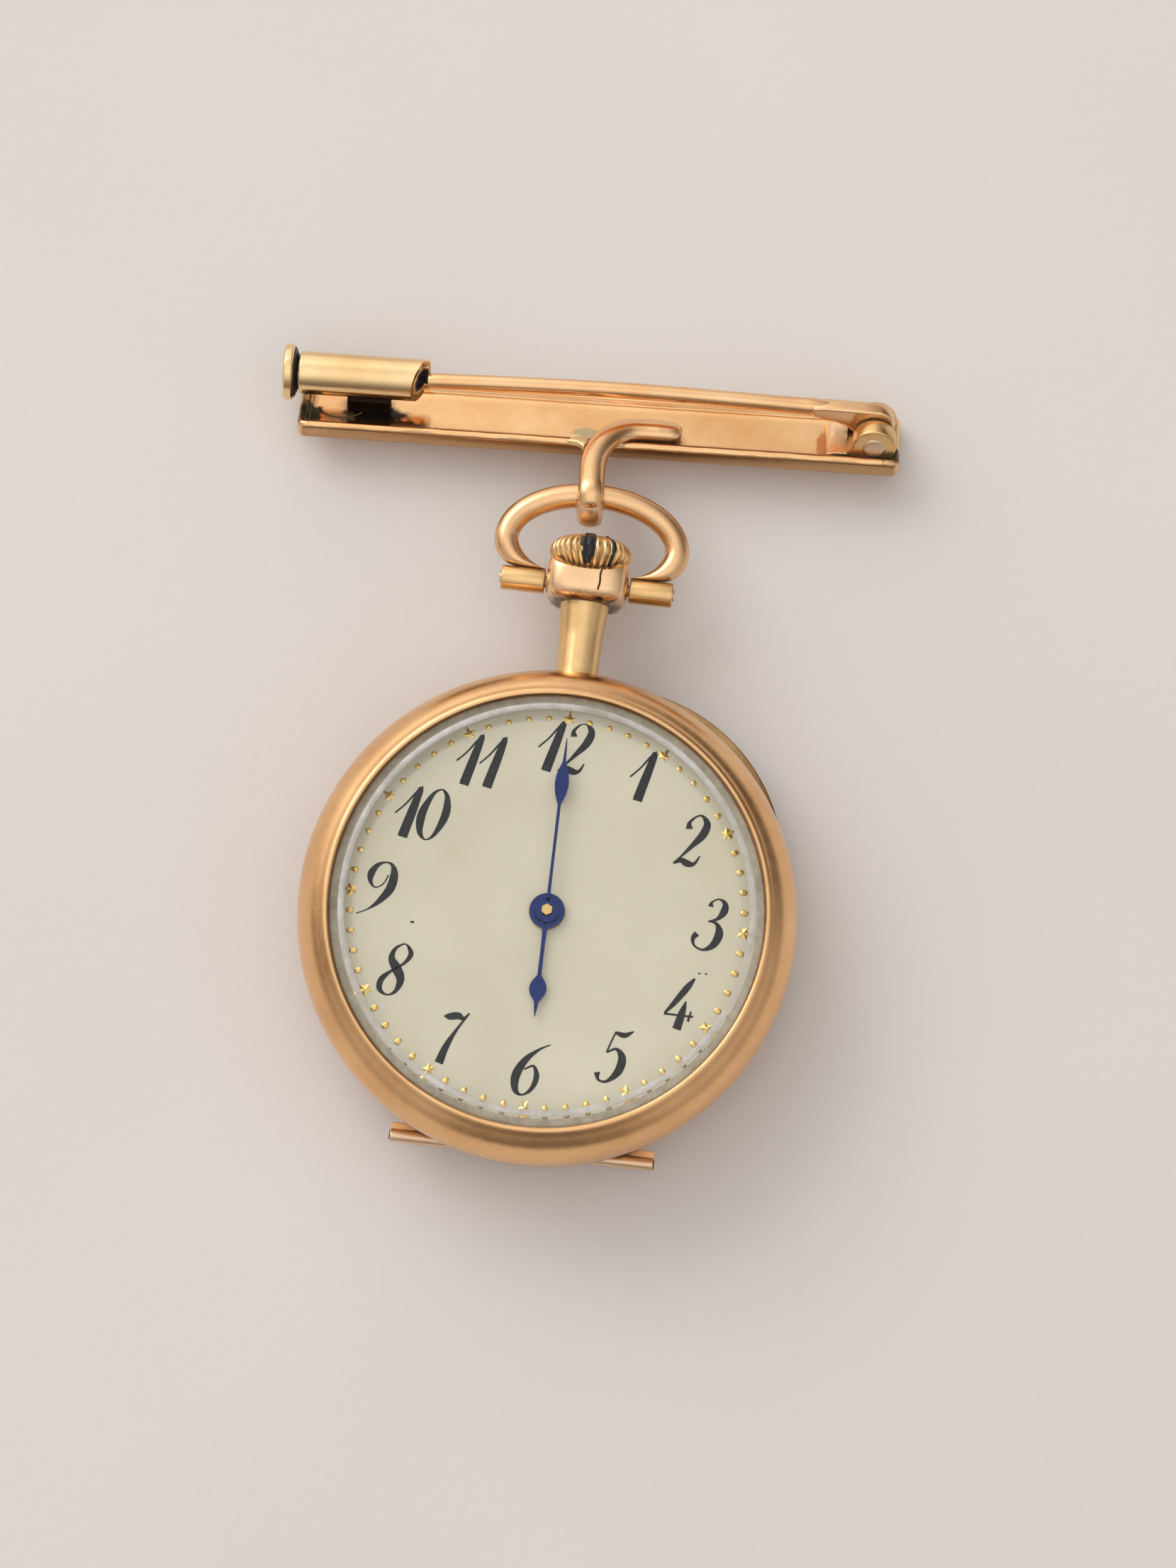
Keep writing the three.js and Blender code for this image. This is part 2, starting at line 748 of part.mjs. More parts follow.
function broochBar() {
  const { half, near, far, front, back, floor, wall } = BAR;
  const corner = 0.35;
  const rounded = (x0, x1, y0, y1) => [
    ...arc(corner, 180, 270, 2, [x0 + corner, y0 + corner]),
    ...arc(corner, 270, 360, 2, [x1 - corner, y0 + corner]),
    ...arc(corner, 0, 90, 2, [x1 - corner, y1 - corner]),
    ...arc(corner, 90, 180, 2, [x0 + corner, y1 - corner]),
  ];
  const trough = plate(rounded(-half + wall, half + 1, near + wall, far - wall), floor, back + EPS);
  const relief = block(TONGUE.relief, half + 1, TONGUE.near - TONGUE.gap, TONGUE.far + TONGUE.gap, 0.12, back);
  return cut(plate(rounded(-half, half, near, far), front, back), trough, relief);
}

function hook() {
  const { x, width, inner, outer, tail } = HOOK;
  const bend = (radius) => arc(radius, 90, 270, 12);
  const side = [
    [4.75, 0.44],
    [4.75, 1.3],
    [1.2, outer],
    ...bend(outer),
    [1.6, -outer + 0.1],
    [BAR.near - 0.03, -0.3],
    [BAR.near - 0.03, 0.5],
    [2.2, 0.1],
    [1.4, -inner + 0.05],
    ...bend(inner).reverse(),
    [1.3, inner],
    [2.6, 0.79],
    [BAR.near + BAR.wall + 0.05, 0.79],
    [BAR.near + BAR.wall + 0.05, 0.44],
  ];
  const strap = plate(side, -width / 2, width / 2);
  strap.applyMatrix4(new THREE.Matrix4().set(0, 0, 1, x, 1, 0, 0, 0, 0, 1, 0, 0, 0, 0, 0, 1));
  return join(strap, block(x, tail, BAR.near + BAR.wall + 0.05, 4.75, 0.44, 1.2));
}

function catchBase() {
  const { from, to, near, far, top } = STAND;
  const stand = block(from, to, near, far, BAR.floor + 0.02, top);
  return cut(stand, barAlongX(CATCH.radius + 0.02, from - EPS, to + EPS, PIN.s, PIN.h, MEDIUM));
}

function catchTube() {
  const { radius, bore, outer, mouth } = CATCH;
  const tube = cut(
    barAlongX(radius, outer, mouth, PIN.s, PIN.h, MEDIUM),
    barAlongX(bore, outer - EPS, mouth + EPS, PIN.s, PIN.h, SMALL),
  );
  const slant = block(0, 3, -3, 0, -3, 3).rotateZ(THREE.MathUtils.degToRad(-28));
  return cut(tube, slant.translate(mouth - 0.25, PIN.s + 0.25, PIN.h));
}

function catchSlider() {
  const { bore, outer, head, headThick, mouth } = CATCH;
  const headInside = outer - 0.35;
  const rod = join(
    barAlongX(bore - 0.04, headInside - EPS, mouth - 1.14, PIN.s, PIN.h, SMALL),
    barAlongX(head, headInside - headThick, headInside, PIN.s, PIN.h, MEDIUM),
  );
  return cut(rod, barAlongX(PIN.radius + 0.1, mouth - 3.5, mouth - 0.6, PIN.s, PIN.h, TINY));
}

// An outline of [x, z] made a plate between two distances from the watch.
function standing(outline, s0, s1) {
  return plate(outline, -s1, -s0).rotateX(Math.PI / 2);
}

function hingeBracket() {
  const { x, h, radius, ear } = RIVET;
  const low = BAR.floor + 0.02;
  const outline = [...arc(ear, 0, 180, 8, [x, h]), [x - 1.6, low], [x + 0.95, low]];
  const ears = [
    [EARS.near, TONGUE.near - TONGUE.gap],
    [TONGUE.far + TONGUE.gap, EARS.far],
  ].map(([s0, s1]) => standing(outline, s0, s1));
  const base = block(x - 2.45, x - 1.35, EARS.near, EARS.far, low, 0.72);
  const rivetHole = disc(radius + 0.03, -7, -3).rotateX(Math.PI / 2).translate(x, 0, h);
  return cut(join(...ears, base), rivetHole);
}

function hingeRivet() {
  const { x, h, radius } = RIVET;
  return disc(radius, -EARS.far - 0.08, 0.08 - EARS.near).rotateX(Math.PI / 2).translate(x, 0, h);
}

function broochPin() {
  const { x, h, radius, eye } = RIVET;
  const outline = [
    ...arc(eye, -150, 70, 9, [x, h]),
    [11.2, PIN.h + 0.34],
    [10.8, PIN.h + 0.3],
    [10.8, PIN.h - 0.3],
    [11.8, PIN.h - 0.45],
  ];
  const eyeHole = disc(radius + 0.03, -6, -4).rotateX(Math.PI / 2).translate(x, 0, h);
  const tongue = cut(standing(outline, TONGUE.near, TONGUE.far), eyeHole);
  const rise = 0.25;
  const path = new THREE.QuadraticBezierCurve3(
    new THREE.Vector3(PIN.tip, PIN.s, PIN.h),
    new THREE.Vector3(1, PIN.s, PIN.h + 2 * rise),
    new THREE.Vector3(11.1, PIN.s, PIN.h),
  );
  const ring = arc(PIN.radius, 0, 324, 9).map(([px, py]) => new THREE.Vector2(px, py));
  const wire = new THREE.ExtrudeGeometry(new THREE.Shape(ring), { steps: 8, extrudePath: path });
  return join(tongue, wire);
}

// ---------------------------------------------------------------- assembly

const METALS = {
  gold: [0xc9955a, 0.32],
  satinGold: [0xbf9058, 0.45],
  paleGold: [0xd2a970, 0.35],
  gilt: [0xc8a04c, 0.3],
  nickel: [0xb9b7b0, 0.35],
  brass: [0xc29a3f, 0.35],
  steel: [0x9a9ca0, 0.25],
  bluedSteel: [0x1d2b5c, 0.25],
};

function metal(name) {
  const [colour, roughness] = METALS[name];
  return new THREE.MeshStandardMaterial({ color: colour, roughness, metalness: 1 });
}

const enamel = () => new THREE.MeshStandardMaterial({ color: 0xd6d5c8, roughness: 0.15, metalness: 0 });
const glass = () => new THREE.MeshStandardMaterial({ color: 0xf2f5f2, roughness: 0.03, metalness: 0 });

const watch = new THREE.Group();
watch.name = "fob_watch";

function add(name, geometry, material) {
  const mesh = new THREE.Mesh(geometry, typeof material === "string" ? metal(material) : material);
  mesh.name = name;
  watch.add(mesh);
}

function addCase() {
  const { y, z, pin, half } = CASE_HINGE;
  add("case_band", caseBand(), "satinGold");
  add("bezel", bezel(), "satinGold");
  add("crystal", crystal(), glass());
  add("back_cover", backCover(), "satinGold");
  add("cuvette", cuvette(), "paleGold");
  add("case_hinge_pin", barAlongX(pin, -half, half, y, z, TINY), "brass");
  add("pendant", pendant(), "satinGold");
  add("crown", crown(), "gold");
  add("winding_stem", windingStem(), "steel");
  add("bow", bow(), "gold");
  [["left", -1], ["right", 1]].forEach(([name, side]) => {
    add(`bow_sleeve_${name}`, bowSleeve(side), "gold");
    add(`bow_pin_${name}`, bowPin(side), "brass");
  });
}

function addDial() {
  add("dial", dial(), enamel());
  add("hour_hand", hand(0.95, 0.55, 5.2, 0.5, 6.77, 6.88).rotateZ(Math.PI), "bluedSteel");
  add("minute_hand", hand(0.65, 0.3, 8.5, 0.4, 7.05, 7.15), "bluedSteel");
}

function addMovement() {
  add("main_plate", mainPlate(), "gilt");
  add("barrel_bridge", barrelBridge(), "gilt");
  add("train_bridge", trainBridge(), "gilt");
  add("balance_cock", balanceCock(), "gilt");
  add("pallet_bridge", palletBridge(), "gilt");
  add("mainspring_barrel", barrel(), "brass");
  add("barrel_lid", barrelLid(), "brass");
  add("mainspring", spiral(1.15, 3.85, 4, 0.16, 4.3, 4.85, AT.barrel), "bluedSteel");
  add("barrel_arbor", barrelArbor(), "steel");
  add("ratchet_wheel", ratchetWheel(), "steel");
  add("crown_wheel", crownWheel(), "steel");
  add("click", click(), "steel");
  add("click_spring", clickSpring(), "steel");
  add("centre_wheel", centreWheel(), "brass");
  add("third_wheel", thirdWheel(), "brass");
  add("fourth_wheel", fourthWheel(), "brass");
  add("escape_wheel", escapeWheel(), "brass");
  add("pallet_fork", palletFork(), "steel");
  add("balance_wheel", balanceWheel(), "brass");
  add("hairspring", hairspring(), "bluedSteel");
  add("regulator", regulator(), "steel");
  add("cannon_pinion", cannonPinion(), "steel");
  add("minute_wheel", minuteWheel(), "brass");
  add("hour_wheel", hourWheel(), "brass");
  add("winding_pinion", stemPinion(10, 1, 7.2, 8.4), "steel");
  add("sliding_pinion", stemPinion(10, 0.66, 5.6, 6.8), "steel");
  add("setting_lever", settingLever(), "steel");
}

function addScrews() {
  const bridgeHead = BRIDGE.bottom - 0.24;
  add("ratchet_screw", screw(AT.barrel, 0.95, 1.83, 2.08), "bluedSteel");
  add("crown_wheel_screw", screw(AT.crownWheel, 0.8, 1.83, 3), "bluedSteel");
  add("barrel_bridge_screw", screw(BARREL_PILLARS[0][0], 0.55, bridgeHead, 3.4), "bluedSteel");
  add("train_bridge_screw", screw(TRAIN_PILLARS[0][0], 0.55, bridgeHead, 3.4), "bluedSteel");
  add("cock_screw", screw(AT.cockFoot, 0.5, 1.61, 3.1), "bluedSteel");
  add("case_screw_upper", screw(CASE_SCREWS[0], 0.55, 2.64, 5.1), "bluedSteel");
  add("case_screw_lower", screw(CASE_SCREWS[1], 0.55, 2.64, 5.1), "bluedSteel");
}

function addBrooch() {
  const hang = new THREE.Matrix4()
    .makeTranslation(...BROOCH.at)
    .multiply(new THREE.Matrix4().makeRotationZ(THREE.MathUtils.degToRad(BROOCH.yaw)))
    .multiply(new THREE.Matrix4().makeRotationX(THREE.MathUtils.degToRad(-BROOCH.droop)));
  const hung = (name, geometry, material) => add(name, geometry.applyMatrix4(hang), material);
  hung("brooch_bar", broochBar(), "gold");
  hung("hook", hook(), "gold");
  hung("catch_base", catchBase(), "gold");
  hung("catch_tube", catchTube(), "gold");
  hung("catch_slider", catchSlider(), "gold");
  hung("hinge_bracket", hingeBracket(), "gold");
  hung("hinge_rivet", hingeRivet(), "paleGold");
  hung("brooch_pin", broochPin(), "gold");
}

addCase();
addDial();
addMovement();
addScrews();
addBrooch();

export default watch;
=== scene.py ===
"""Looks for the fob watch: visual pieces, materials, floor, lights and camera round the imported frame."""

import json
import math

import bmesh
import bpy
import numpy as np
from mathutils import Matrix, Vector


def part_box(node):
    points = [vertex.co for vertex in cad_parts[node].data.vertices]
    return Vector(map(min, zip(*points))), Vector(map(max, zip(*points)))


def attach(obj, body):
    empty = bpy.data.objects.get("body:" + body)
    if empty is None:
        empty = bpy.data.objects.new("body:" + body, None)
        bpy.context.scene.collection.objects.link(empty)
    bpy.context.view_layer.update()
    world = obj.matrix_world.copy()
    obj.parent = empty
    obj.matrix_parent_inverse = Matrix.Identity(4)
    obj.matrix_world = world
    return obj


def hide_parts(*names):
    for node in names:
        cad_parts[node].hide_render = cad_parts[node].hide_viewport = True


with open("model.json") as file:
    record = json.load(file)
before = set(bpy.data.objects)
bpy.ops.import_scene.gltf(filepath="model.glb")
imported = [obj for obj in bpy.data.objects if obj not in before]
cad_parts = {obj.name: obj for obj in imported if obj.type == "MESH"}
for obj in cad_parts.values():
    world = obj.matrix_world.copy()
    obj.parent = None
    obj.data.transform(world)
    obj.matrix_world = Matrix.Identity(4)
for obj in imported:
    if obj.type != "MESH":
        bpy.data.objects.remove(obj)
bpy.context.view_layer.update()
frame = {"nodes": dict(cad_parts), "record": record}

MM = 0.001  # shapes below are written in millimetres

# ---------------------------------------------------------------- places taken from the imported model

JOINTS = {joint["name"]: joint for joint in frame["record"]["behaviour"]["joints"]}


def joint_point(name):
    return np.array(JOINTS[name]["pos_m"]) / MM


def highest(node):
    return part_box(node)[1][2] / MM


STEM_Z = joint_point("crown_turn")[2]
BOW_Y = joint_point("bow_swing")[1]
HINGE_Y, HINGE_Z = joint_point("back_cover_hinge")[1:]
DIAL_TOP = highest("dial")

# The brooch hangs askew, so its pieces are written along the bar (x), away from the watch (s)
# and out of the bar's back (h), from the bow wire that it hangs on.
BROOCH_ORIGIN = joint_point("brooch_swing")
BROOCH_X = np.array(JOINTS["brooch_swing"]["axis"])
BROOCH_S = np.array(JOINTS["pin_hinge"]["axis"])
BROOCH_H = np.cross(BROOCH_X, BROOCH_S)
BROOCH_AXES = np.array([BROOCH_X, BROOCH_S, BROOCH_H])
PIN_S, PIN_H = 5.35, 2.33  # the line of the brooch pin and of its catch


def on_brooch(points):
    return BROOCH_ORIGIN + np.asarray(points, float) @ BROOCH_AXES


# ---------------------------------------------------------------- shader nodes


def as_colour(value):
    return value if isinstance(value, bpy.types.NodeSocket) else (*value, 1)


class Graph:
    """Short calls for the few shader nodes used here."""

    def __init__(self, tree):
        self.nodes = tree.nodes
        self.links = tree.links

    def put(self, value, socket):
        if isinstance(value, bpy.types.NodeSocket):
            self.links.new(value, socket)
        else:
            socket.default_value = value

    def fill(self, node, **values):
        """Sets or links a node's inputs by name, with _ for a space."""
        for name, value in values.items():
            self.put(value, node.inputs[name.replace("_", " ")])

    def ramp(self, value, *stops):
        node = self.nodes.new("ShaderNodeValToRGB")
        self.fill(node, Fac=value)
        elements = node.color_ramp.elements
        while len(elements) < len(stops):
            elements.new(0.5)
        for element, (position, colour) in zip(elements, stops):
            element.position = position
            element.color = (*colour, 1)
        return node.outputs["Color"]

    def level(self, value, low, high, to_low=0.0, to_high=1.0):
        node = self.nodes.new("ShaderNodeMapRange")
        self.fill(node, Value=value, From_Min=low, From_Max=high, To_Min=to_low, To_Max=to_high)
        return node.outputs["Result"]

    def combine(self, operation, one, two):
        node = self.nodes.new("ShaderNodeMath")
        node.operation = operation
        self.put(one, node.inputs[0])
        self.put(two, node.inputs[1])
        return node.outputs[0]

    def vector(self, operation, one, two=(0, 0, 0)):
        node = self.nodes.new("ShaderNodeVectorMath")
        node.operation = operation
        self.put(one, node.inputs[0])
        self.put(two, node.inputs[1])
        return node.outputs["Value" if operation in ("DOT_PRODUCT", "LENGTH") else "Vector"]

    def mix(self, factor, one, two, blend="MIX"):
        node = self.nodes.new("ShaderNodeMix")
        node.data_type = "RGBA"
        node.blend_type = blend
        self.fill(node, Factor=factor, A=as_colour(one), B=as_colour(two))
        return node.outputs["Result"]


class Finish(Graph):
    """The nodes of one material, which is laid out in millimetres."""

    def __init__(self, name):
        self.material = bpy.data.materials.new(name)
        self.material.use_nodes = True
        super().__init__(self.material.node_tree)
        self.shader = self.nodes["Principled BSDF"]
        coordinates = self.nodes.new("ShaderNodeTexCoord")
        self.place = self.vector("MULTIPLY", coordinates.outputs["Object"], (1 / MM, 1 / MM, 1 / MM))

    def set(self, **values):
        self.fill(self.shader, **values)

    def noise(self, scale, detail=4.0, roughness=0.55, where=None):
        """Noise of about scale waves in a mm."""
        node = self.nodes.new("ShaderNodeTexNoise")
        self.fill(node, Vector=where or self.place, Scale=scale, Detail=detail, Roughness=roughness)
        return node.outputs["Fac"]

    def drift(self, one, two, tone, smooth, rough, grain=None):
        """Colour drifting between two with one noise, and roughness with that noise or another."""
        tone = self.noise(*tone)
        grain = self.noise(*grain) if grain else tone
        self.set(Base_Color=self.mix(self.level(tone, 0.3, 0.7), one, two))
        self.set(Roughness=self.level(grain, 0.3, 0.7, smooth, rough))
        return tone

    def crevice(self, reach):
        """1 in corners narrower than reach (in mm), 0 on open surfaces."""
        node = self.nodes.new("ShaderNodeAmbientOcclusion")
        node.samples = 6
        self.fill(node, Distance=reach * MM)
        return self.level(node.outputs["AO"], 0.75, 0.25)

    def bump(self, height, depth):
        node = self.nodes.new("ShaderNodeBump")
        self.fill(node, Strength=1.0, Distance=depth * MM, Height=height)
        self.set(Normal=node.outputs["Normal"])

    def bar_place(self):
        """The place along the bar, away from the watch and out of its back, in mm."""
        whole = self.nodes.new("ShaderNodeCombineXYZ")
        for axis, socket in zip(BROOCH_AXES, whole.inputs):
            along = self.vector("DOT_PRODUCT", self.place, axis)
            self.put(self.combine("SUBTRACT", along, float(BROOCH_ORIGIN @ axis)), socket)
        return whole.outputs[0]

    def stain(self, where, centre, radii):
        """1 near a place, fading out towards its radii with a ragged edge."""
        share = self.vector("DIVIDE", self.vector("SUBTRACT", where, centre), radii)
        far = self.vector("LENGTH", share)
        ragged = self.level(self.noise(2.4, 6, 0.65), 0.3, 0.7, -0.22, 0.22)
        return self.level(self.combine("ADD", far, ragged), 1.0, 0.72)


# ---------------------------------------------------------------- worn gold, with painted shade and a painted reflection

# Dark brown for corner residue and for painted shade in corners and creases.
GRIME_AND_SHADE = (0.05, 0.022, 0.008)
# Colours of the bar trough's painted reflection and painted shade.
TROUGH_REFLECTION = (0.30, 0.12, 0.045)
OUTER_SIDE_SHADE = (0.45, 0.27, 0.14)


def shade_trough(kit, where, shown):
    """Painted reflection of the near wall's inside: a brown line inside its rim; and painted shade: a
    duller side towards the watch.
    """
    parts = kit.nodes.new("ShaderNodeSeparateXYZ")
    kit.put(where, parts.inputs[0])
    wander = kit.level(kit.noise(0.5, 3), 0.3, 0.7, -0.05, 0.05)
    from_watch = kit.combine("ADD", parts.outputs["Y"], wander)
    line = kit.combine("MULTIPLY", kit.level(from_watch, 3.46, 3.53), kit.level(from_watch, 4.02, 3.88))
    line = kit.combine("MULTIPLY", line, kit.level(parts.outputs["Z"], 0.2, 0.3))
    shown = kit.mix(kit.combine("MULTIPLY", line, 0.95), shown, TROUGH_REFLECTION)
    return kit.mix(kit.level(from_watch, 3.33, 3.27, 0, 0.85), shown, OUTER_SIDE_SHADE)


def gold(name, colour, deep, roughness, bump, grime_and_shade, reach=0.5, stain_and_shade_patches=(), on_bar=False):
    """Worn gold: warm and pale patches, fine scratches, brown residue in its corners that doubles as
    painted shade there, and stained patches and patches of painted shade, each a (centre, radii, colour,
    how metallic)."""
    kit = Finish(name)
    metal = kit.mix(kit.level(kit.noise(0.28, 5, 0.6), 0.35, 0.68), deep, colour)
    broken = kit.level(kit.noise(3.2, 6, 0.7), 0.3, 0.6)
    # Corners turn dark brown: residue that is really there, and painted shade in corners and creases as
    # well.
    dirt_and_shade = kit.combine("MULTIPLY", kit.combine("MULTIPLY", kit.crevice(reach), broken), grime_and_shade)
    spots = kit.level(kit.noise(1.3, 8, 0.75), 0.68, 0.76, 0, 0.5 * grime_and_shade)
    dirt_and_shade = kit.combine("MAXIMUM", dirt_and_shade, spots)
    shown = kit.mix(dirt_and_shade, metal, GRIME_AND_SHADE)
    metallic = kit.level(dirt_and_shade, 0, 1, 1, 0.25)
    where = kit.bar_place() if on_bar else kit.place
    # In the bar's trough, a painted reflection and painted shade go over the metal.
    if on_bar:
        shown = shade_trough(kit, where, shown)
    # Patches of stained metal and patches of painted shade go over the metal here.
    for centre, radii, tint, metal_share in stain_and_shade_patches:
        mask = kit.stain(where, centre, radii)
        shown = kit.mix(mask, shown, tint)
        metallic = kit.combine("MULTIPLY", metallic, kit.level(mask, 0, 1, 1, metal_share))
    scratches = kit.noise(2.2, 9, 0.8)
    rough = kit.level(scratches, 0.3, 0.7, roughness - 0.07, roughness + 0.09)
    rough = kit.combine("ADD", rough, kit.combine("MULTIPLY", dirt_and_shade, 0.3))
    kit.set(Base_Color=shown, Metallic=metallic, Roughness=rough)
    dents = kit.combine("MULTIPLY", kit.noise(0.9, 3), 1.5)
    kit.bump(kit.combine("ADD", scratches, dents), bump)
    return kit.material


BROWN, BLACK, GREENISH = (0.09, 0.04, 0.018), (0.018, 0.012, 0.010), (0.05, 0.05, 0.022)
COPPER, SOLDERED, GREYED = (0.62, 0.24, 0.09), (0.95, 0.74, 0.40), (0.52, 0.42, 0.25)
TROUGH_STAINS_AND_SHADE = [
    ((-14.7, 4.3, 0.55), (0.75, 1.0, 0.45), GREENISH, 0.5),
    ((-13.2, 4.3, 0.45), (1.0, 0.35, 0.5), GREYED, 0.8),
    ((-10.9, 4.0, 0.45), (2.6, 0.5, 0.4), BROWN, 0.7),
    # Nearly black under the catch tube round its stand: painted shade there, over residue.
    ((-11.4, 4.7, 0.45), (1.9, 0.75, 0.4), BLACK, 0.4),
    ((-0.6, 4.35, 0.42), (0.9, 0.42, 0.3), GREYED, 0.9),
    ((-1.15, 3.9, 0.45), (0.42, 0.36, 0.5), SOLDERED, 1.0),
    ((11.5, 4.6, 0.45), (0.55, 1.3, 0.4), COPPER, 1.0),
    ((12.35, 4.0, 0.5), (0.95, 0.5, 0.4), BLACK, 0.3),
    ((14.6, 4.0, 0.6), (0.9, 0.7, 0.5), GREENISH, 0.6),
]
# Painted shade on the underside of the pendant's head, round the neck.
HEAD_UNDERSIDE_SHADE = [((0.0, 15.98, 3.9), (2.2, 0.62, 2.3), BROWN, 0.8)]

# name, colour, deeper colour, roughness, bump in mm, how much corner residue and painted shade, and how
# wide a corner holds them
SATIN = gold("satin_gold", (0.90, 0.555, 0.28), (0.78, 0.45, 0.21), 0.29, 0.006, 0.55)
POLISHED = gold("polished_gold", (0.93, 0.62, 0.35), (0.84, 0.50, 0.25), 0.17, 0.0025, 0.75, 0.6)
BRASSY = gold("sleeve_gold", (0.88, 0.59, 0.29), (0.70, 0.43, 0.18), 0.22, 0.005, 0.9, 0.6)
BEZEL = gold("bezel_gold", (0.90, 0.555, 0.28), (0.78, 0.45, 0.21), 0.2, 0.005, 0.55)
# Dark, grimy gold, its darkness partly painted shade: the back's lip lies in shade beside the case, the
# catch's seam bead in a crease.
SHADED_DARK_GOLD = gold("shaded_dark_gold", (0.50, 0.32, 0.14), (0.20, 0.11, 0.045), 0.38, 0.015, 1.0, 0.9)
BOW_GOLD = gold("bow_gold", (0.92, 0.60, 0.34), (0.80, 0.48, 0.24), 0.24, 0.002, 0.6, 0.4)
CROWN_GOLD = gold("crown_gold", (0.94, 0.67, 0.36), (0.78, 0.49, 0.22), 0.2, 0.003, 1.0, 0.5)
# Nearly black gold for the catch stand: painted shade under the catch tube, over a grimy stand.
SHADED_BLACK = gold("shaded_black_gold", (0.06, 0.03, 0.018), (0.015, 0.010, 0.008), 0.5, 0.012, 1.0, 1.0)
PALE = gold("pale_gold", (0.88, 0.66, 0.46), (0.78, 0.54, 0.35), 0.32, 0.008, 0.5)
HEAD = gold("head_gold", (0.96, 0.67, 0.40), (0.86, 0.55, 0.30), 0.24, 0.003, 0.5, 0.3, HEAD_UNDERSIDE_SHADE)
TROUGH = gold("trough_gold", (0.96, 0.62, 0.32), (0.84, 0.47, 0.21), 0.16, 0.004, 1.0, 0.9,
              TROUGH_STAINS_AND_SHADE, on_bar=True)
SOLDER = gold("solder", (0.97, 0.76, 0.44), (0.84, 0.60, 0.32), 0.32, 0.012, 0.5)
HINGE_GOLD = gold("hinge_gold", (0.92, 0.62, 0.36), (0.50, 0.26, 0.12), 0.27, 0.012, 1.0, 1.2)
CATCH_GOLD = gold("catch_gold", (0.94, 0.70, 0.39), (0.84, 0.56, 0.27), 0.18, 0.003, 0.75, 0.6)
DARK = gold("oxidised_gold", (0.16, 0.08, 0.04), (0.035, 0.02, 0.014), 0.5, 0.012, 1.0, 1.0)

# ---------------------------------------------------------------- enamel, glass, steel, black residue and painted shade, and the crystal edge's painted highlight and reflection


def enamel():
    kit = Finish("dial_enamel")
    kit.drift((0.63, 0.58, 0.435), (0.71, 0.665, 0.52), (0.16, 4), 0.10, 0.2, (1.1, 6))
    kit.set(Coat_Weight=0.6, Coat_Roughness=0.06, Subsurface_Weight=0.15, Subsurface_Scale=0.4 * MM)
    kit.bump(kit.noise(0.35, 3), 0.01)
    return kit.material


def ink():
    kit = Finish("dial_ink")
    worn = kit.noise(4.5, 6, 0.7)
    kit.set(Base_Color=kit.ramp(worn, (0.3, (0.010, 0.010, 0.012)), (0.75, (0.04, 0.04, 0.044))))
    kit.set(Roughness=kit.level(worn, 0.2, 0.8, 0.3, 0.55), Specular_IOR_Level=0.12)
    return kit.material


def seat_grey():
    """Painted reflection that the crystal's edge shows of the bezel's inside, laid on the ring under the
    crystal: grey-olive, its tone drifting.
    """
    kit = Finish("crystal_seat_painted_reflection")
    kit.drift((0.30, 0.265, 0.20), (0.50, 0.465, 0.38), (1.6, 6, 0.7), 0.35, 0.6)
    kit.bump(kit.noise(5, 6), 0.004)
    return kit.material


def ground_glass():
    """Painted highlight on the crystal's edge: nearly white, with a smoky grain."""
    kit = Finish("ground_glass")
    kit.drift((0.56, 0.53, 0.49), (0.80, 0.78, 0.76), (1.1, 5, 0.65), 0.3, 0.5)
    kit.set(Alpha=kit.level(kit.noise(0.3, 3), 0.35, 0.65, 0.2, 0.9))
    return kit.material


def marker_gold():
    kit = Finish("dial_marker_gold")
    kit.drift((0.80, 0.52, 0.14), (0.95, 0.72, 0.30), (2.5, 5), 0.2, 0.4, (6, 4))
    kit.set(Metallic=1.0)
    return kit.material


def crystal_glass():
    kit = Finish("crystal_glass")
    kit.set(Base_Color=kit.ramp(kit.noise(0.2, 2), (0.0, (0.97, 0.985, 0.97)), (1.0, (1.0, 1.0, 1.0))))
    kit.set(Transmission_Weight=1.0, IOR=1.45, Specular_Tint=(0.4, 0.4, 0.4, 1))
    kit.set(Roughness=kit.level(kit.noise(7, 8, 0.8), 0.55, 0.75, 0.0, 0.06))
    return kit.material


# Black for residue in the crown's grooves, and for painted shade in the catch's gaps.
def black_residue():
    kit = Finish("black_residue")
    kit.drift((0.004, 0.004, 0.005), (0.02, 0.02, 0.024), (3, 6), 0.28, 0.5, (2, 5))
    kit.bump(kit.noise(2.5, 4), 0.03)
    return kit.material


def worked_metal(name, colour, deep, roughness, grain, depth=0.004):
    """Clean movement metal with a worked grain, finer where the grain's numbers are higher."""
    kit = Finish(name)
    worked = (2.5, 8, 0.75, kit.vector("MULTIPLY", kit.place, grain))
    lines = kit.drift(deep, colour, worked, roughness - 0.06, roughness + 0.1)
    kit.set(Metallic=1.0)
    kit.bump(lines, depth)
    return kit.material


GILT = worked_metal("frosted_gilt", (0.85, 0.60, 0.25), (0.68, 0.45, 0.16), 0.42, (3, 3, 3), 0.008)
BRASS = worked_metal("wheel_brass", (0.80, 0.56, 0.22), (0.62, 0.42, 0.15), 0.28, (6, 0.4, 1))
STEEL = worked_metal("polished_steel", (0.62, 0.62, 0.63), (0.40, 0.40, 0.42), 0.2, (0.5, 7, 1))
BLUE = worked_metal("blued_steel", (0.022, 0.045, 0.20), (0.012, 0.02, 0.09), 0.18, (2, 2, 2), 0.002)
ENAMEL = enamel()
INK = ink()
MARKER = marker_gold()
GLASS = crystal_glass()
SEAT = seat_grey()
EDGE_HIGHLIGHT = ground_glass()
RESIDUE_AND_SHADE = black_residue()

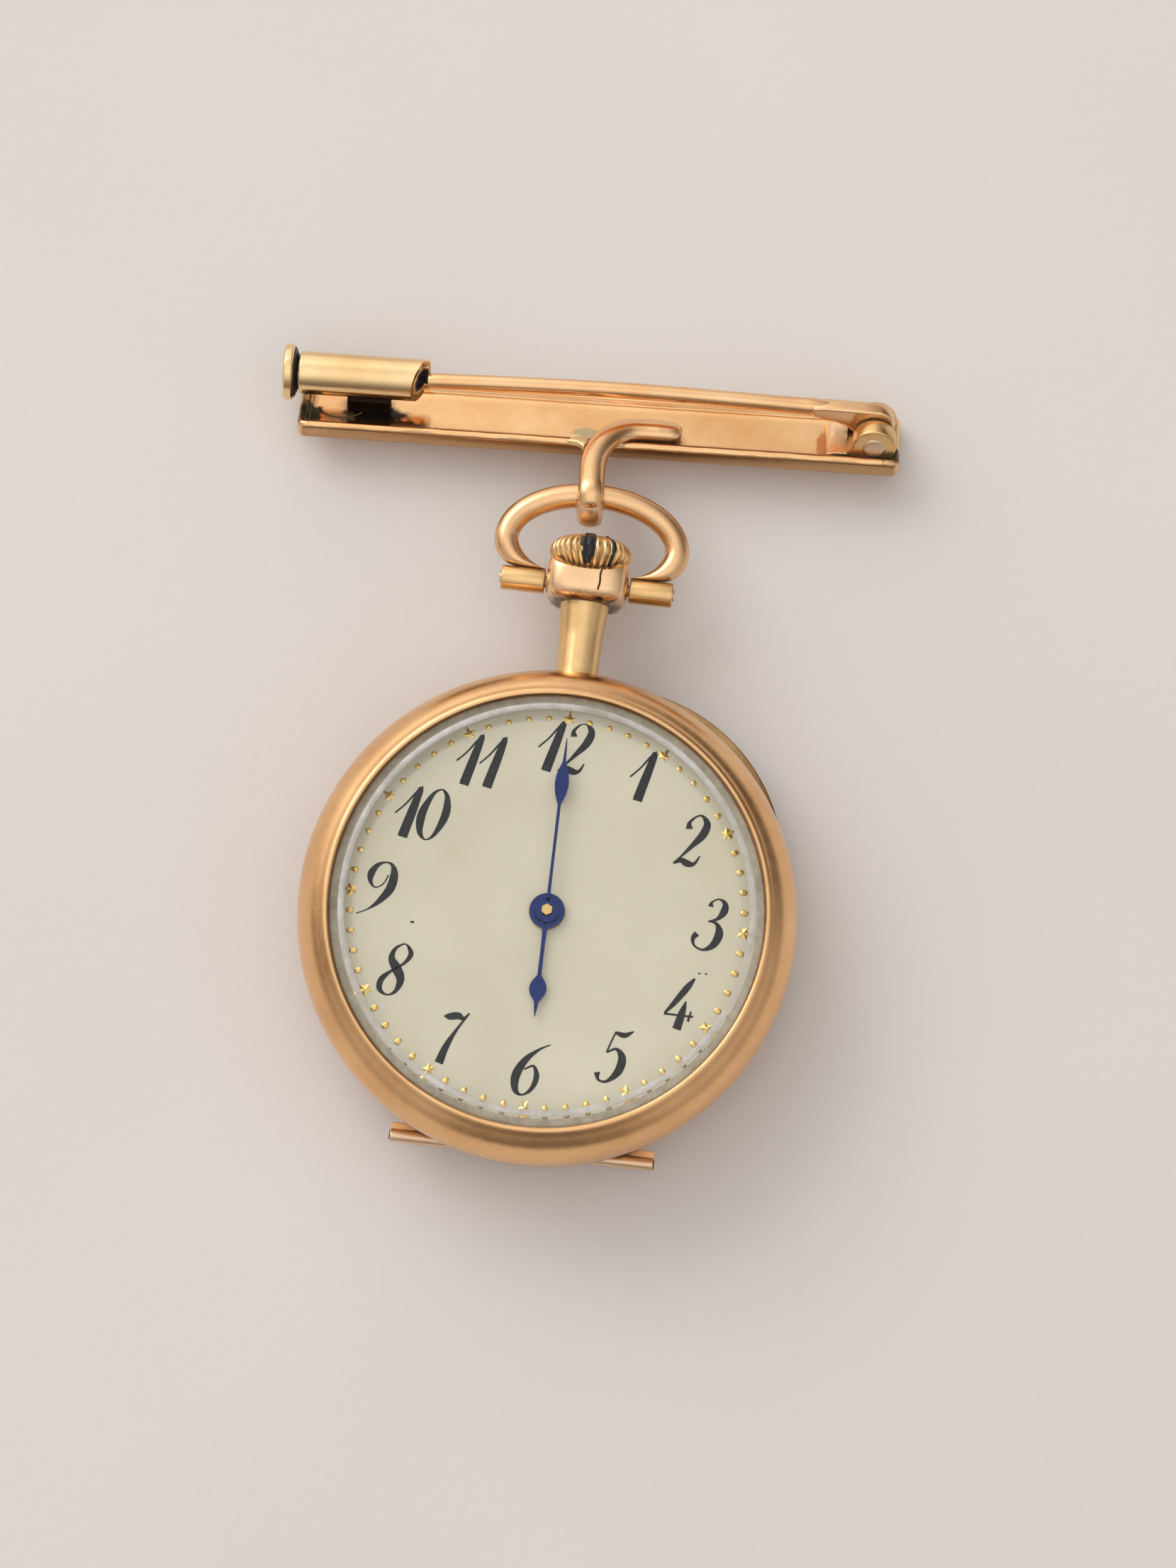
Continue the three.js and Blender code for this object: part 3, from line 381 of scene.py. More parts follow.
# ---------------------------------------------------------------- mesh building

MERGE_DISTANCE = 1e-7  # in metres
EMPTY_EDGE = 1e-8
EDGE_ANGLE = math.radians(32)  # sharper edges than this are rounded
FILLET_REACH = 0.45  # the most of an edge that one rounded corner takes


def as_mesh(name, points, faces):
    """A mesh from points in mm, with doubled points joined and its faces turned outwards."""
    mesh = bpy.data.meshes.new(name)
    mesh.from_pydata((np.asarray(points, float) * MM).tolist(), [], faces)
    work = bmesh.new()
    work.from_mesh(mesh)
    bmesh.ops.remove_doubles(work, verts=work.verts, dist=MERGE_DISTANCE)
    bmesh.ops.dissolve_degenerate(work, dist=EMPTY_EDGE, edges=work.edges)
    bmesh.ops.recalc_face_normals(work, faces=work.faces)
    work.to_mesh(mesh)
    work.free()
    return mesh


def new_object(name, mesh):
    made = bpy.data.objects.new(name, mesh)
    bpy.context.scene.collection.objects.link(made)
    return made


def dress(name, mesh, material, body, stands_for=None, slot=None, smooth=True, bevel=0.0):
    """A piece from a mesh: its material, its rounded edges and the CAD body it rides on."""
    made = new_object(name, mesh)
    made.data.materials.append(material)
    if smooth:
        for face in mesh.polygons:
            face.use_smooth = True
    if bevel:
        rounding = made.modifiers.new("rounding", "BEVEL")
        rounding.width = bevel * MM
        rounding.segments = 3
        rounding.limit_method = "ANGLE"
        rounding.angle_limit = EDGE_ANGLE
        rounding.use_clamp_overlap = True
    weights = made.modifiers.new("normals", "WEIGHTED_NORMAL")
    weights.keep_sharp = True
    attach(made, body)
    if stands_for:
        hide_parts(stands_for)
    return made


def piece(name, points, faces, *looks, **more_looks):
    """A piece from points in mm; what follows them is as for dress."""
    return dress(name, as_mesh(name, points, faces), *looks, **more_looks)


def carved(base, tools, union=()):
    """The mesh left when tools are cut from a shape, after others are joined to it."""
    body = new_object("tool", as_mesh("tool", *base))
    helpers = []
    for shape, operation in [(u, "UNION") for u in union] + [(t, "DIFFERENCE") for t in tools]:
        helper = new_object("tool", as_mesh("tool", *shape))
        step = body.modifiers.new("step", "BOOLEAN")
        step.operation = operation
        step.solver = "EXACT"
        step.object = helper
        helpers.append(helper)
    graph = bpy.context.evaluated_depsgraph_get()
    mesh = bpy.data.meshes.new_from_object(body.evaluated_get(graph))
    for helper in [body, *helpers]:
        bpy.data.objects.remove(helper)
    return mesh


def add_shape(points, faces, new_points, new_faces):
    """One more shape in the lists of points and faces of a piece."""
    base = len(points)
    points += list(new_points)
    faces += [tuple(base + i for i in face) for face in new_faces]


# Places: each maps a shape's own (a, b, height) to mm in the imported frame.


def on_dial(a, b, h):
    return (a, b, h)


def on_stem(a, b, h):
    return (a, h, STEM_Z + b)


def along_x(y, z):
    return lambda a, b, h: (h, y + a, z + b)


def around(x, y):
    return lambda a, b, h: (x + a, y + b, h)


def spun(turn):
    c, s = math.cos(turn), math.sin(turn)
    return lambda a, b, h: (c * a - s * b, s * a + c * b, h)


def along_bar(s0, h0):
    """Turned round a line along the brooch."""
    return lambda a, b, h: on_brooch((h, s0 + a, h0 + b))


def above_bar(a, b, h):
    """An outline of (x, s), solid outwards from the bar's back."""
    return on_brooch((a, b, h))


def across_bar(a, b, h):
    """An outline of (x, h), solid in the direction away from the watch."""
    return on_brooch((a, h, b))


# Shapes: outlines and sections are lists of 2-D points in mm.


def circle(radius, sides=20):
    return [(radius * math.cos(a), radius * math.sin(a)) for a in np.arange(sides) * 2 * math.pi / sides]


def arc(radius, start, end, steps, centre=(0, 0)):
    angles = np.radians(np.linspace(start, end, steps + 1))
    return [(centre[0] + radius * math.cos(a), centre[1] + radius * math.sin(a)) for a in angles]


def soft_box(half_wide, half_tall, power, sides):
    """A rectangle with soft corners, rounder with a lower power."""
    out = []
    for a in np.arange(sides) * 2 * math.pi / sides:
        c, s = math.cos(a), math.sin(a)
        x = half_wide * math.copysign(abs(c) ** (2 / power), c)
        y = half_tall * math.copysign(abs(s) ** (2 / power), s)
        out.append((x, y))
    return out


def fillet(profile, radius, closed=False, steps=4):
    """The corners of a 2-D profile rounded off by short curves."""
    points = [np.array(p, float) for p in profile]
    count = len(points)
    out = []
    for i, corner in enumerate(points):
        if not closed and i in (0, count - 1):
            out.append(corner)
            continue
        before = points[i - 1] - corner
        after = points[(i + 1) % count] - corner
        before_length, after_length = np.linalg.norm(before), np.linalg.norm(after)
        reach = min(radius, FILLET_REACH * before_length, FILLET_REACH * after_length)
        start = corner + before / before_length * reach
        end = corner + after / after_length * reach
        for t in np.linspace(0, 1, steps):
            out.append((1 - t) ** 2 * start + 2 * t * (1 - t) * corner + t**2 * end)
    return out


def smooth_path(points, per_span=8):
    """Catmull-Rom points through a list of points of any width."""
    points = np.asarray(points, float)
    padded = np.vstack([2 * points[0] - points[1], points, 2 * points[-1] - points[-2]])
    out = []
    for i in range(len(points) - 1):
        p0, p1, p2, p3 = padded[i : i + 4]
        slope = p2 - p0
        bend = 2 * p0 - 5 * p1 + 4 * p2 - p3
        twist = 3 * p1 - p0 - 3 * p2 + p3
        for t in np.linspace(0, 1, per_span, endpoint=False):
            out.append(0.5 * (2 * p1 + slope * t + bend * t**2 + twist * t**3))
    out.append(points[-1])
    return np.array(out)


def grid_faces(rows, columns, wrap_rows=False, wrap_columns=False):
    faces = []
    for i in range(rows if wrap_rows else rows - 1):
        for j in range(columns if wrap_columns else columns - 1):
            a, b = (i + 1) % rows, (j + 1) % columns
            faces.append((i * columns + j, a * columns + j, a * columns + b, i * columns + b))
    return faces


def stacked(loops):
    """Points and faces of a solid skinned over closed loops, with both ends closed."""
    rows, columns = len(loops), len(loops[0])
    faces = grid_faces(rows, columns, wrap_columns=True)
    faces.append(tuple(range(columns)))
    faces.append(tuple(range((rows - 1) * columns, rows * columns)))
    return [point for loop in loops for point in loop], faces


def revolve(profile, place, sides=128, closed=False):
    """Points and faces of a profile of (radius, height), turned all the way round."""
    angles = np.linspace(0, 2 * math.pi, sides, endpoint=False)
    points = [place(r * math.cos(a), r * math.sin(a), h) for a in angles for r, h in profile]
    count = len(profile)
    faces = []
    for i in range(sides):
        j = (i + 1) % sides
        for k in range(count if closed else count - 1):
            n = (k + 1) % count
            faces.append((i * count + k, j * count + k, j * count + n, i * count + n))
    return points, faces


def rod(radius, start, end, place, sides):
    """A plain cylinder."""
    return revolve([(0, start), (radius, start), (radius, end), (0, end)], place, sides)


def ring(profile, edge, place, sides):
    """A closed profile with rounded corners, turned all the way round."""
    return revolve(fillet(profile, edge, closed=True), place, sides, closed=True)


def tube(bore, radius, start, end, edge, place, sides):
    """A pipe with rounded edges."""
    return ring([(bore, start), (radius, start), (radius, end), (bore, end)], edge, place, sides)


def sweep(path, section, normals, scale=None):
    """A section of (across, outwards) carried along a path; normals say which way outwards is."""
    path, normals = np.asarray(path, float), np.asarray(normals, float)
    scale = np.ones(len(path)) if scale is None else np.asarray(scale, float)
    tangents = np.gradient(path, axis=0)
    tangents /= np.linalg.norm(tangents, axis=1)[:, None]
    sides = np.cross(tangents, normals)
    sides /= np.linalg.norm(sides, axis=1)[:, None]
    outs = np.cross(sides, tangents)
    return stacked([
        [p + size * (across * side + out * up) for across, out in section]
        for p, side, up, size in zip(path, sides, outs, scale)
    ])


def slab(outline, low, high, place):
    """An outline made solid between two heights."""
    count = len(outline)
    points = [place(a, b, h) for h in (low, high) for a, b in outline]
    faces = [tuple(range(count))[::-1], tuple(range(count, 2 * count))]
    faces += [(i, (i + 1) % count, count + (i + 1) % count, count + i) for i in range(count)]
    return points, faces


def box_shape(low, high, place=on_dial):
    (x0, y0, z0), (x1, y1, z1) = low, high
    return slab([(x0, y0), (x1, y0), (x1, y1), (x0, y1)], z0, z1, place)


# ---------------------------------------------------------------- case

ROUND_SIDES = 160  # round the case's large rings
STEM_BORE = 0.5

BEZEL_OUTLINE = [
    (11.38, 4.91), (12.1, 4.91), (12.23, 5.1), *arc(2.6, 0, 57, 13, (9.65, 5.3)), (10.9, 7.64),
    (10.79, 7.7), (10.68, 7.7), (10.61, 7.64), (10.59, 7.04), (10.16, 6.98), (10.16, 6.75),
    (11.0, 6.65), (11.38, 5.9),
]
CRYSTAL_OUTLINE = [
    (0, 7.62), (5, 7.57), (9.3, 7.3), (9.9, 7.12), (10.46, 7.12), (10.53, 7.2), (10.53, 7.44),
    (10.46, 7.5), (10.1, 7.84), (9.6, 7.96), (8, 8.05), (5, 8.17), (0, 8.25),
]
CRYSTAL_BEVEL = [(9.8, 7.915), (10.08, 7.85), (10.12, 7.81), (10.13, 7.84), (10.09, 7.875), (9.8, 7.94)]
CRYSTAL_SEAT = [(10.0, 7.06), (10.56, 7.0), (10.56, 7.08), (10.0, 7.1)]


def make_bezel():
    front = ring(BEZEL_OUTLINE, 0.1, on_dial, 180)
    piece("bezel_ring", *front, BEZEL, "bezel_and_crystal", "bezel", "satin_gold")


def make_crystal():
    """The glass, a ring of painted highlight on its edge, and the ring that it sits on, seen through it and
    coloured as a painted reflection.
    """
    dome = revolve(fillet(CRYSTAL_OUTLINE, 0.07), on_dial, 180)
    glass = piece("crystal_dome", *dome, GLASS, "bezel_and_crystal", "crystal", "glass")
    glass.visible_shadow = False
    glass.visible_diffuse = False
    bevel = revolve(CRYSTAL_BEVEL, on_dial, ROUND_SIDES, closed=True)
    highlight_ring = piece("crystal_edge_highlight", *bevel, EDGE_HIGHLIGHT, "bezel_and_crystal", slot="glass")
    highlight_ring.visible_shadow = False
    seat = ring(CRYSTAL_SEAT, 0.02, on_dial, ROUND_SIDES)
    piece("crystal_seat", *seat, SEAT, "bezel_and_crystal", slot="glass")


BAND_OUTLINE = [
    (11.0, 2.45), (12.0, 2.5), (12.06, 2.6), (12.06, 4.78), (12.0, 4.86), (11.3, 4.86), (11.3, 5.3),
    (10.25, 5.3), (10.25, 2.9), (11.0, 2.9),
]
BACK_OUTLINE = [
    (0, 0), (4.5, 0.0), (8, 0.34), (10.4, 1.02), (11.5, 1.68), (11.95, 2.15), (12.0, 2.38),
    (11.5, 2.38), (11.2, 1.95), (10.2, 1.5), (7.8, 0.86), (4.4, 0.48), (0, 0.48),
]
CUVETTE_OUTLINE = [
    (0, 0.75), (4.4, 0.75), (7.8, 1.12), (10.2, 1.76), (10.9, 2.1), (10.9, 2.38), (10.72, 2.38),
    (10.1, 2.02), (7.8, 1.37), (4.4, 1.0), (0, 1.0),
]
HINGE_ROD = [
    (0, -6.55), (0.24, -6.55), (0.24, -6.42), (0.14, -6.36), (0.14, 6.36), (0.24, 6.42), (0.24, 6.55),
    (0, 6.55),
]
ON_HINGE = along_x(HINGE_Y, HINGE_Z)
HINGE_CHANNEL, HINGE_CHANNEL_HALF = 0.38, 6.6  # its radius, and half its length
KNUCKLE_BORE, KNUCKLE_RADIUS = 0.15, 0.33
FIXED_KNUCKLE = 1.2  # half its length
LEAF_START = -11.2  # where the covers' hinge leaves leave their knuckles
BACK_CHORD, CUVETTE_CHORD = -10.85, -10.5  # the covers are cut straight beside the hinge
LIP_WAY, LIP_OFFSET, LIP_RADIUS = math.radians(55), 4.1, 9.0  # the back's opening lip


def knuckle(start, end):
    return tube(KNUCKLE_BORE, KNUCKLE_RADIUS, start, end, 0.05, ON_HINGE, 28)


def make_band():
    channel = rod(HINGE_CHANNEL, -HINGE_CHANNEL_HALF, HINGE_CHANNEL_HALF, ON_HINGE, 28)
    bore = rod(STEM_BORE, 9, 13, on_stem, 24)
    middle = carved(ring(BAND_OUTLINE, 0.06, on_dial, ROUND_SIDES), [channel, bore])
    dress("case_middle", middle, SATIN, "case", "case_band", "satin_gold")
    piece("case_knuckle", *knuckle(-FIXED_KNUCKLE, FIXED_KNUCKLE), PALE, "case", slot="pale_gold")
    web = box_shape((-FIXED_KNUCKLE, HINGE_Y - 0.2, HINGE_Z + 0.22), (FIXED_KNUCKLE, HINGE_Y + 0.15, 3))
    piece("case_knuckle_web", *web, SATIN, "case", slot="satin_gold", bevel=0.03)


def make_knuckles(part, body, near, far, leaf_end, leaf_low, leaf_high, material, slot):
    """A cover's two knuckles, each with the leaf that joins it to the cover."""
    for name, start, end in (("left", -far, -near), ("right", near, far)):
        piece(f"{part}_knuckle_{name}", *knuckle(start, end), PALE, body, slot="pale_gold")
        leaf = box_shape((start, LEAF_START, leaf_low), (end, leaf_end, leaf_high))
        piece(f"{part}_leaf_{name}", *leaf, material, body, slot=slot, bevel=0.03)


def make_back():
    chord = box_shape((-13, -13, -1), (13, BACK_CHORD, 3))
    lip_place = around(LIP_OFFSET * math.cos(LIP_WAY), LIP_OFFSET * math.sin(LIP_WAY))
    lip = revolve(fillet([(0, 2.05), (LIP_RADIUS, 2.05), (LIP_RADIUS, 2.38), (0, 2.38)], 0.09), lip_place)
    hollow = rod(11.7, 1.9, 2.5, on_dial, 128)
    cover = carved(revolve(fillet(BACK_OUTLINE, 0.25), on_dial, ROUND_SIDES), [chord])
    dress("back_shell", cover, SATIN, "back", "back_cover", "satin_gold")
    # The lip's dark colour includes painted shade beside the case.
    dress("back_lip", carved(lip, [hollow]), SHADED_DARK_GOLD, "back", slot="satin_gold")
    make_knuckles("back", "back", 3.2, 6.5, -10.6, 2.1, 2.36, SATIN, "satin_gold")
    pin = revolve(fillet(HINGE_ROD, 0.03), ON_HINGE, 24)
    piece("case_hinge_rod", *pin, DARK, "case", "case_hinge_pin", "pale_gold")


def make_cuvette():
    chord = box_shape((-13, -13, -1), (13, CUVETTE_CHORD, 3))
    mesh = carved(revolve(fillet(CUVETTE_OUTLINE, 0.2), on_dial, ROUND_SIDES), [chord])
    dress("inner_cover_shell", mesh, PALE, "inner_cover", "cuvette", "pale_gold")
    make_knuckles("inner", "inner_cover", 1.25, 3.15, -10.2, 2.14, 2.34, PALE, "pale_gold")


# ---------------------------------------------------------------- pendant, crown and bow

NECK_OUTLINE = [
    (STEM_BORE, 11.95), (1.06, 11.95), (1.05, 12.6), (1.09, 14.4), (1.2, 15.9), (1.3, 16.15),
    (STEM_BORE, 16.15),
]
HEAD_HALF = 2.03
HEAD_SIDES = 96
HEAD_SQUARENESS, CUP_SQUARENESS = 4.4, 2.2  # 2 is round
# up the head's outside: (height along the stem, how far in from its full half width)
HEAD_OUTSIDE = [
    (15.98, 0.62), (16.02, 0.46), (16.14, 0.24), (16.4, 0.06), (16.62, 0.0), (17.4, 0.0), (17.9, 0.0),
    (17.98, 0.03),
]
# down the cup in its top: (height, half width)
HEAD_CUP = [(17.98, 1.98), (17.9, 1.93), (17.4, 1.6), (17.36, 1.4)]
SCOOP = {"y": 18.87, "z": 2.4, "radius": 1.48, "half": 3.3}  # the dip in the head's front and back rim
HEAD_SCRATCH = [(0.7, 17.5, 5.93), (0.65, 17.2, 5.935), (0.665, 16.85, 5.935), (0.6, 16.42, 5.93)]


def make_head():
    loops = []
    for level, inset in HEAD_OUTSIDE:
        half = HEAD_HALF - inset
        loops.append([(a, level, STEM_Z + b) for a, b in soft_box(half, half, HEAD_SQUARENESS, HEAD_SIDES)])
    for level, half in HEAD_CUP:
        loops.append([(a, level, STEM_Z + b) for a, b in soft_box(half, half, CUP_SQUARENESS, HEAD_SIDES)])
    heights = SCOOP["half"] * np.linspace(-0.999, 0.999, 41)
    dip = [(SCOOP["radius"] * math.sqrt(1 - (h / SCOOP["half"]) ** 2), h) for h in heights]
    dip = [(0, heights[0]), *dip, (0, heights[-1])]
    scoops = [revolve(dip, along_x(SCOOP["y"], STEM_Z + side * SCOOP["z"]), 96) for side in (1, -1)]
    mesh = carved(stacked(loops), [*scoops, rod(STEM_BORE, 15, 19, on_stem, 32)])
    dress("pendant_head", mesh, HEAD, "case", "pendant", "satin_gold", bevel=0.035)


def make_pendant():
    neck = ring(NECK_OUTLINE, 0.15, on_stem, 64)
    piece("pendant_neck", *neck, BRASSY, "case", slot="satin_gold")
    make_head()
    scratch = smooth_path(HEAD_SCRATCH, 5)
    mark = sweep(scratch, soft_box(0.05, 0.016, 2, 8), np.tile((0, 0, 1.0), (len(scratch), 1)))
    piece("pendant_mark", *mark, DARK, "case", slot="satin_gold", smooth=False)


CROWN_PROFILE = [
    (0, 17.43), (1.3, 17.43), (1.5, 17.6), (1.68, 17.9), (1.88, 18.2), (2.03, 18.42), (2.08, 18.66),
    (1.99, 18.97), (1.68, 19.25), (1.2, 19.39), (0.6, 19.45), (0, 19.46),
]
FLUTES = 30
GROOVE_DEPTH = 0.24
GROOVE_SHAPE = 0.45  # below 1, the ribs are broad and the grooves narrow
RESIDUE_ANGLES = [(82, 106), (50, 58)]
RESIDUE_RADII = (1.62, 1.9, 2.07, 1.95, 1.25)
RESIDUE_HEIGHTS = (17.8, 18.22, 18.68, 19.05, 19.44)


def crown_radius(profile_radius, angle):
    """Rounded ribs with narrow grooves between them, fading out towards the middle."""
    rib = abs(math.sin(FLUTES * angle / 2 + 0.25 * math.sin(3 * angle))) ** GROOVE_SHAPE
    depth = GROOVE_DEPTH * min(1.0, max(0.0, (profile_radius - 0.45) / 0.8))
    return profile_radius - depth * (1 - rib)


def make_crown():
    profile = fillet(CROWN_PROFILE, 0.2, steps=5)
    sides = FLUTES * 14
    points = []
    for i in range(sides):
        angle = 2 * math.pi * i / sides
        for r, h in profile:
            radius = crown_radius(r, angle)
            points.append(on_stem(radius * math.cos(angle), radius * math.sin(angle), h))
    faces = grid_faces(sides, len(profile), wrap_rows=True)
    piece("crown_knob", points, faces, CROWN_GOLD, "knob", "crown", "polished_gold")
    for number, (start, end) in enumerate(RESIDUE_ANGLES):
        make_residue(number, start, end)


def make_residue(number, start, end):
    """Black residue that fills a groove and its ribs on the knob's upper side."""
    rows, columns = 16, 30
    stations = np.linspace(0, 1, len(RESIDUE_RADII))
    points = []
    for i in range(rows):
        t = i / (rows - 1)
        r = np.interp(t, stations, RESIDUE_RADII)
        h = np.interp(t, stations, RESIDUE_HEIGHTS)
        for j in range(columns):
            u = j / (columns - 1)
            waist = 0.5 + (u - 0.5) * min(1.0, 0.5 + 1.1 * t)
            angle = math.radians(start + (end - start) * waist)
            edge = math.sin(math.pi * u) * math.sin(math.pi * (0.06 + 0.88 * t))
            lift = (crown_radius(r, angle) + r) / 2 - 0.03 + 0.08 * edge**0.3
            points.append(on_stem(lift * math.cos(angle), lift * math.sin(angle), h))
    faces = grid_faces(rows, columns)
    piece(f"crown_residue_{number}", points, faces, RESIDUE_AND_SHADE, "knob", slot="polished_gold")


BOW_WIRE = 0.61
BOW_ACROSS, BOW_TALL, BOW_RISE = 4.3, 2.55, 2.1  # half width and height of its oval, and its centre
# where the bow turns in to the sleeve: its outer edge, inner edge and half depth
BOW_END = [
    (4.87, 1.78, 3.64, 1.88, 0.61), (4.78, 1.46, 3.53, 1.64, 0.6), (4.59, 1.14, 3.37, 1.4, 0.58),
    (4.32, 0.87, 3.17, 1.19, 0.54), (3.98, 0.7, 2.94, 1.01, 0.5), (3.4, 0.61, 2.65, 0.84, 0.45),
    (2.8, 0.59, 2.4, 0.73, 0.38), (2.16, 0.58, 2.16, 0.63, 0.25),
]
SLEEVE_NEAR, SLEEVE_FAR = 2.13, 4.3
SLEEVE_BORE, SLEEVE_RADIUS = 0.31, 0.62
BOW_PIN_NEAR, BOW_PIN_FAR, BOW_PIN_RADIUS = 1.3, 4.4, 0.29


def bow_edges():
    """Outer edge, inner edge and half depth along the right half of the bow, from the top down."""
    edges = []
    for a in np.radians(np.linspace(90, 0, 20)):
        out = np.array([math.cos(a) / BOW_ACROSS, math.sin(a) / BOW_TALL])
        out *= BOW_WIRE / np.linalg.norm(out)
        middle = np.array([BOW_ACROSS * math.cos(a), BOW_RISE + BOW_TALL * math.sin(a)])
        edges.append([*(middle + out), *(middle - out), BOW_WIRE])
    return smooth_path(edges + BOW_END, 4)


def make_bow_end(name, side):
    """The sleeve on one end of the bow, and the pin from it into the pendant's head."""
    in_sleeve = along_x(BOW_Y, STEM_Z)
    near, far = sorted((side * SLEEVE_NEAR, side * SLEEVE_FAR))
    sleeve = tube(SLEEVE_BORE, SLEEVE_RADIUS, near, far, 0.06, in_sleeve, 48)
    piece(f"sleeve_{name}", *sleeve, BRASSY, "bow_ring", f"bow_sleeve_{name}", "polished_gold")
    near, far = sorted((side * BOW_PIN_NEAR, side * BOW_PIN_FAR))
    outline = [(0, near), (BOW_PIN_RADIUS, near), (BOW_PIN_RADIUS, far), (0, far)]
    pin = revolve(fillet(outline, 0.07), in_sleeve, 32)
    piece(f"bow_rod_{name}", *pin, PALE, "case", f"bow_pin_{name}", "pale_gold")


def make_bow():
    right = bow_edges()
    left = right[:0:-1] * np.array([-1, 1, -1, 1, 1])
    loops = []
    for x0, y0, x1, y1, depth in np.vstack([left, right]):
        loop = []
        for a, b in circle(1, 28):
            share = 0.5 + 0.5 * a
            loop.append((x1 + (x0 - x1) * share, BOW_Y + y1 + (y0 - y1) * share, STEM_Z + depth * b))
        loops.append(loop)
    piece("bow_wire", *stacked(loops), BOW_GOLD, "bow_ring", "bow", "polished_gold")
    for name, side in (("left", -1), ("right", 1)):
        make_bow_end(name, side)


# ---------------------------------------------------------------- dial and hands

NUMERAL_HEIGHT = 2.55
NUMERAL_RISE = 0.27  # how far the ring of numerals sits above the hands' centre
NARROW = 0.78
PEN_SHARE = 0.84  # how much of each stroke's width is inked
SLANT = 0.2

# Each numeral is pen strokes of (x, y, width) on a square of height 1.
STROKES = {
    "0": [
        [(0.12, 0.95, 0.06), (0.0, 1.0, 0.035), (-0.16, 0.9, 0.08), (-0.27, 0.6, 0.17),
         (-0.27, 0.36, 0.19), (-0.18, 0.12, 0.12), (0.0, 0.0, 0.035), (0.16, 0.1, 0.08),
         (0.27, 0.4, 0.17), (0.27, 0.64, 0.18), (0.18, 0.88, 0.11), (0.04, 1.0, 0.04)],
    ],
    "1": [
        [(0.07, 1.0, 0.09), (0.06, 0.9, 0.15), (0.03, 0.5, 0.2), (0.0, 0.1, 0.22), (0.0, 0.0, 0.22)],
        [(0.1, 1.02, 0.03), (-0.02, 0.88, 0.05), (-0.18, 0.64, 0.04), (-0.36, 0.45, 0.04)],
    ],
    "2": [
        [(-0.16, 0.72, 0.16), (-0.2, 0.84, 0.08), (-0.08, 0.97, 0.04), (0.06, 0.99, 0.06),
         (0.23, 0.84, 0.16), (0.2, 0.62, 0.18), (0.02, 0.38, 0.1), (-0.14, 0.18, 0.05),
         (-0.28, 0.03, 0.04)],
        [(-0.28, 0.03, 0.05), (-0.12, 0.1, 0.12), (0.06, 0.05, 0.16), (0.22, 0.06, 0.08),
         (0.3, 0.22, 0.03)],
    ],
    "3": [
        [(-0.15, 0.84, 0.13), (-0.15, 0.93, 0.05), (0.0, 1.0, 0.04), (0.17, 0.92, 0.12),
         (0.2, 0.77, 0.17), (0.1, 0.62, 0.08), (-0.1, 0.55, 0.03)],
        [(-0.08, 0.56, 0.03), (0.12, 0.52, 0.08), (0.25, 0.34, 0.19), (0.2, 0.12, 0.16), (0.0, 0.0, 0.06),
         (-0.24, 0.06, 0.05), (-0.33, 0.2, 0.1), (-0.27, 0.3, 0.14)],
    ],
    "4": [
        [(0.16, 1.0, 0.05), (0.04, 0.8, 0.15), (-0.14, 0.5, 0.12), (-0.3, 0.28, 0.05)],
        [(-0.31, 0.27, 0.05), (0.0, 0.27, 0.045), (0.4, 0.27, 0.05)],
        [(0.31, 0.37, 0.04), (0.31, 0.17, 0.06)],
        [(0.12, 0.55, 0.03), (0.11, 0.32, 0.16), (0.1, 0.0, 0.2)],
    ],
    "5": [
        [(0.3, 1.01, 0.03), (0.12, 0.92, 0.12), (-0.06, 0.94, 0.09), (-0.14, 0.97, 0.03)],
        [(-0.12, 0.96, 0.04), (-0.16, 0.76, 0.04), (-0.19, 0.56, 0.04)],
        [(-0.19, 0.56, 0.04), (0.02, 0.64, 0.07), (0.22, 0.48, 0.18), (0.22, 0.22, 0.18),
         (0.03, 0.02, 0.07), (-0.18, 0.03, 0.06), (-0.27, 0.17, 0.14)],
    ],
    "6": [
        [(0.34, 1.0, 0.025), (0.1, 0.88, 0.06), (-0.14, 0.66, 0.15), (-0.25, 0.36, 0.2),
         (-0.16, 0.09, 0.14), (0.03, 0.0, 0.045), (0.21, 0.12, 0.09), (0.25, 0.36, 0.13),
         (0.1, 0.56, 0.06), (-0.1, 0.48, 0.035)],
    ],
    "7": [
        [(-0.28, 0.9, 0.03), (-0.15, 0.9, 0.15), (0.05, 0.93, 0.16), (0.2, 0.89, 0.08), (0.3, 1.0, 0.03)],
        [(0.3, 1.0, 0.04), (0.12, 0.66, 0.07), (0.0, 0.32, 0.15), (-0.04, 0.0, 0.2)],
    ],
    "8": [
        [(0.17, 0.94, 0.06), (0.02, 1.0, 0.035), (-0.16, 0.89, 0.08), (-0.17, 0.7, 0.15),
         (0.02, 0.52, 0.22), (0.2, 0.32, 0.18), (0.18, 0.09, 0.09), (0.0, 0.0, 0.04), (-0.22, 0.1, 0.12),
         (-0.24, 0.3, 0.13), (-0.03, 0.5, 0.05), (0.17, 0.64, 0.07), (0.25, 0.82, 0.12),
         (0.12, 0.97, 0.06)],
    ],
    "9": [
        [(-0.34, -0.04, 0.025), (-0.1, 0.07, 0.035), (0.1, 0.24, 0.12), (0.26, 0.5, 0.2),
         (0.25, 0.78, 0.18), (0.13, 0.96, 0.08), (-0.04, 1.0, 0.04), (-0.21, 0.93, 0.1),
         (-0.3, 0.76, 0.16), (-0.25, 0.6, 0.09), (-0.1, 0.5, 0.035), (0.06, 0.58, 0.03),
         (0.12, 0.76, 0.035)],
    ],
}
NUMERAL_RADIUS = {10: 7.7, 11: 7.8, 12: 7.9}
USUAL_NUMERAL_RADIUS = 8.0
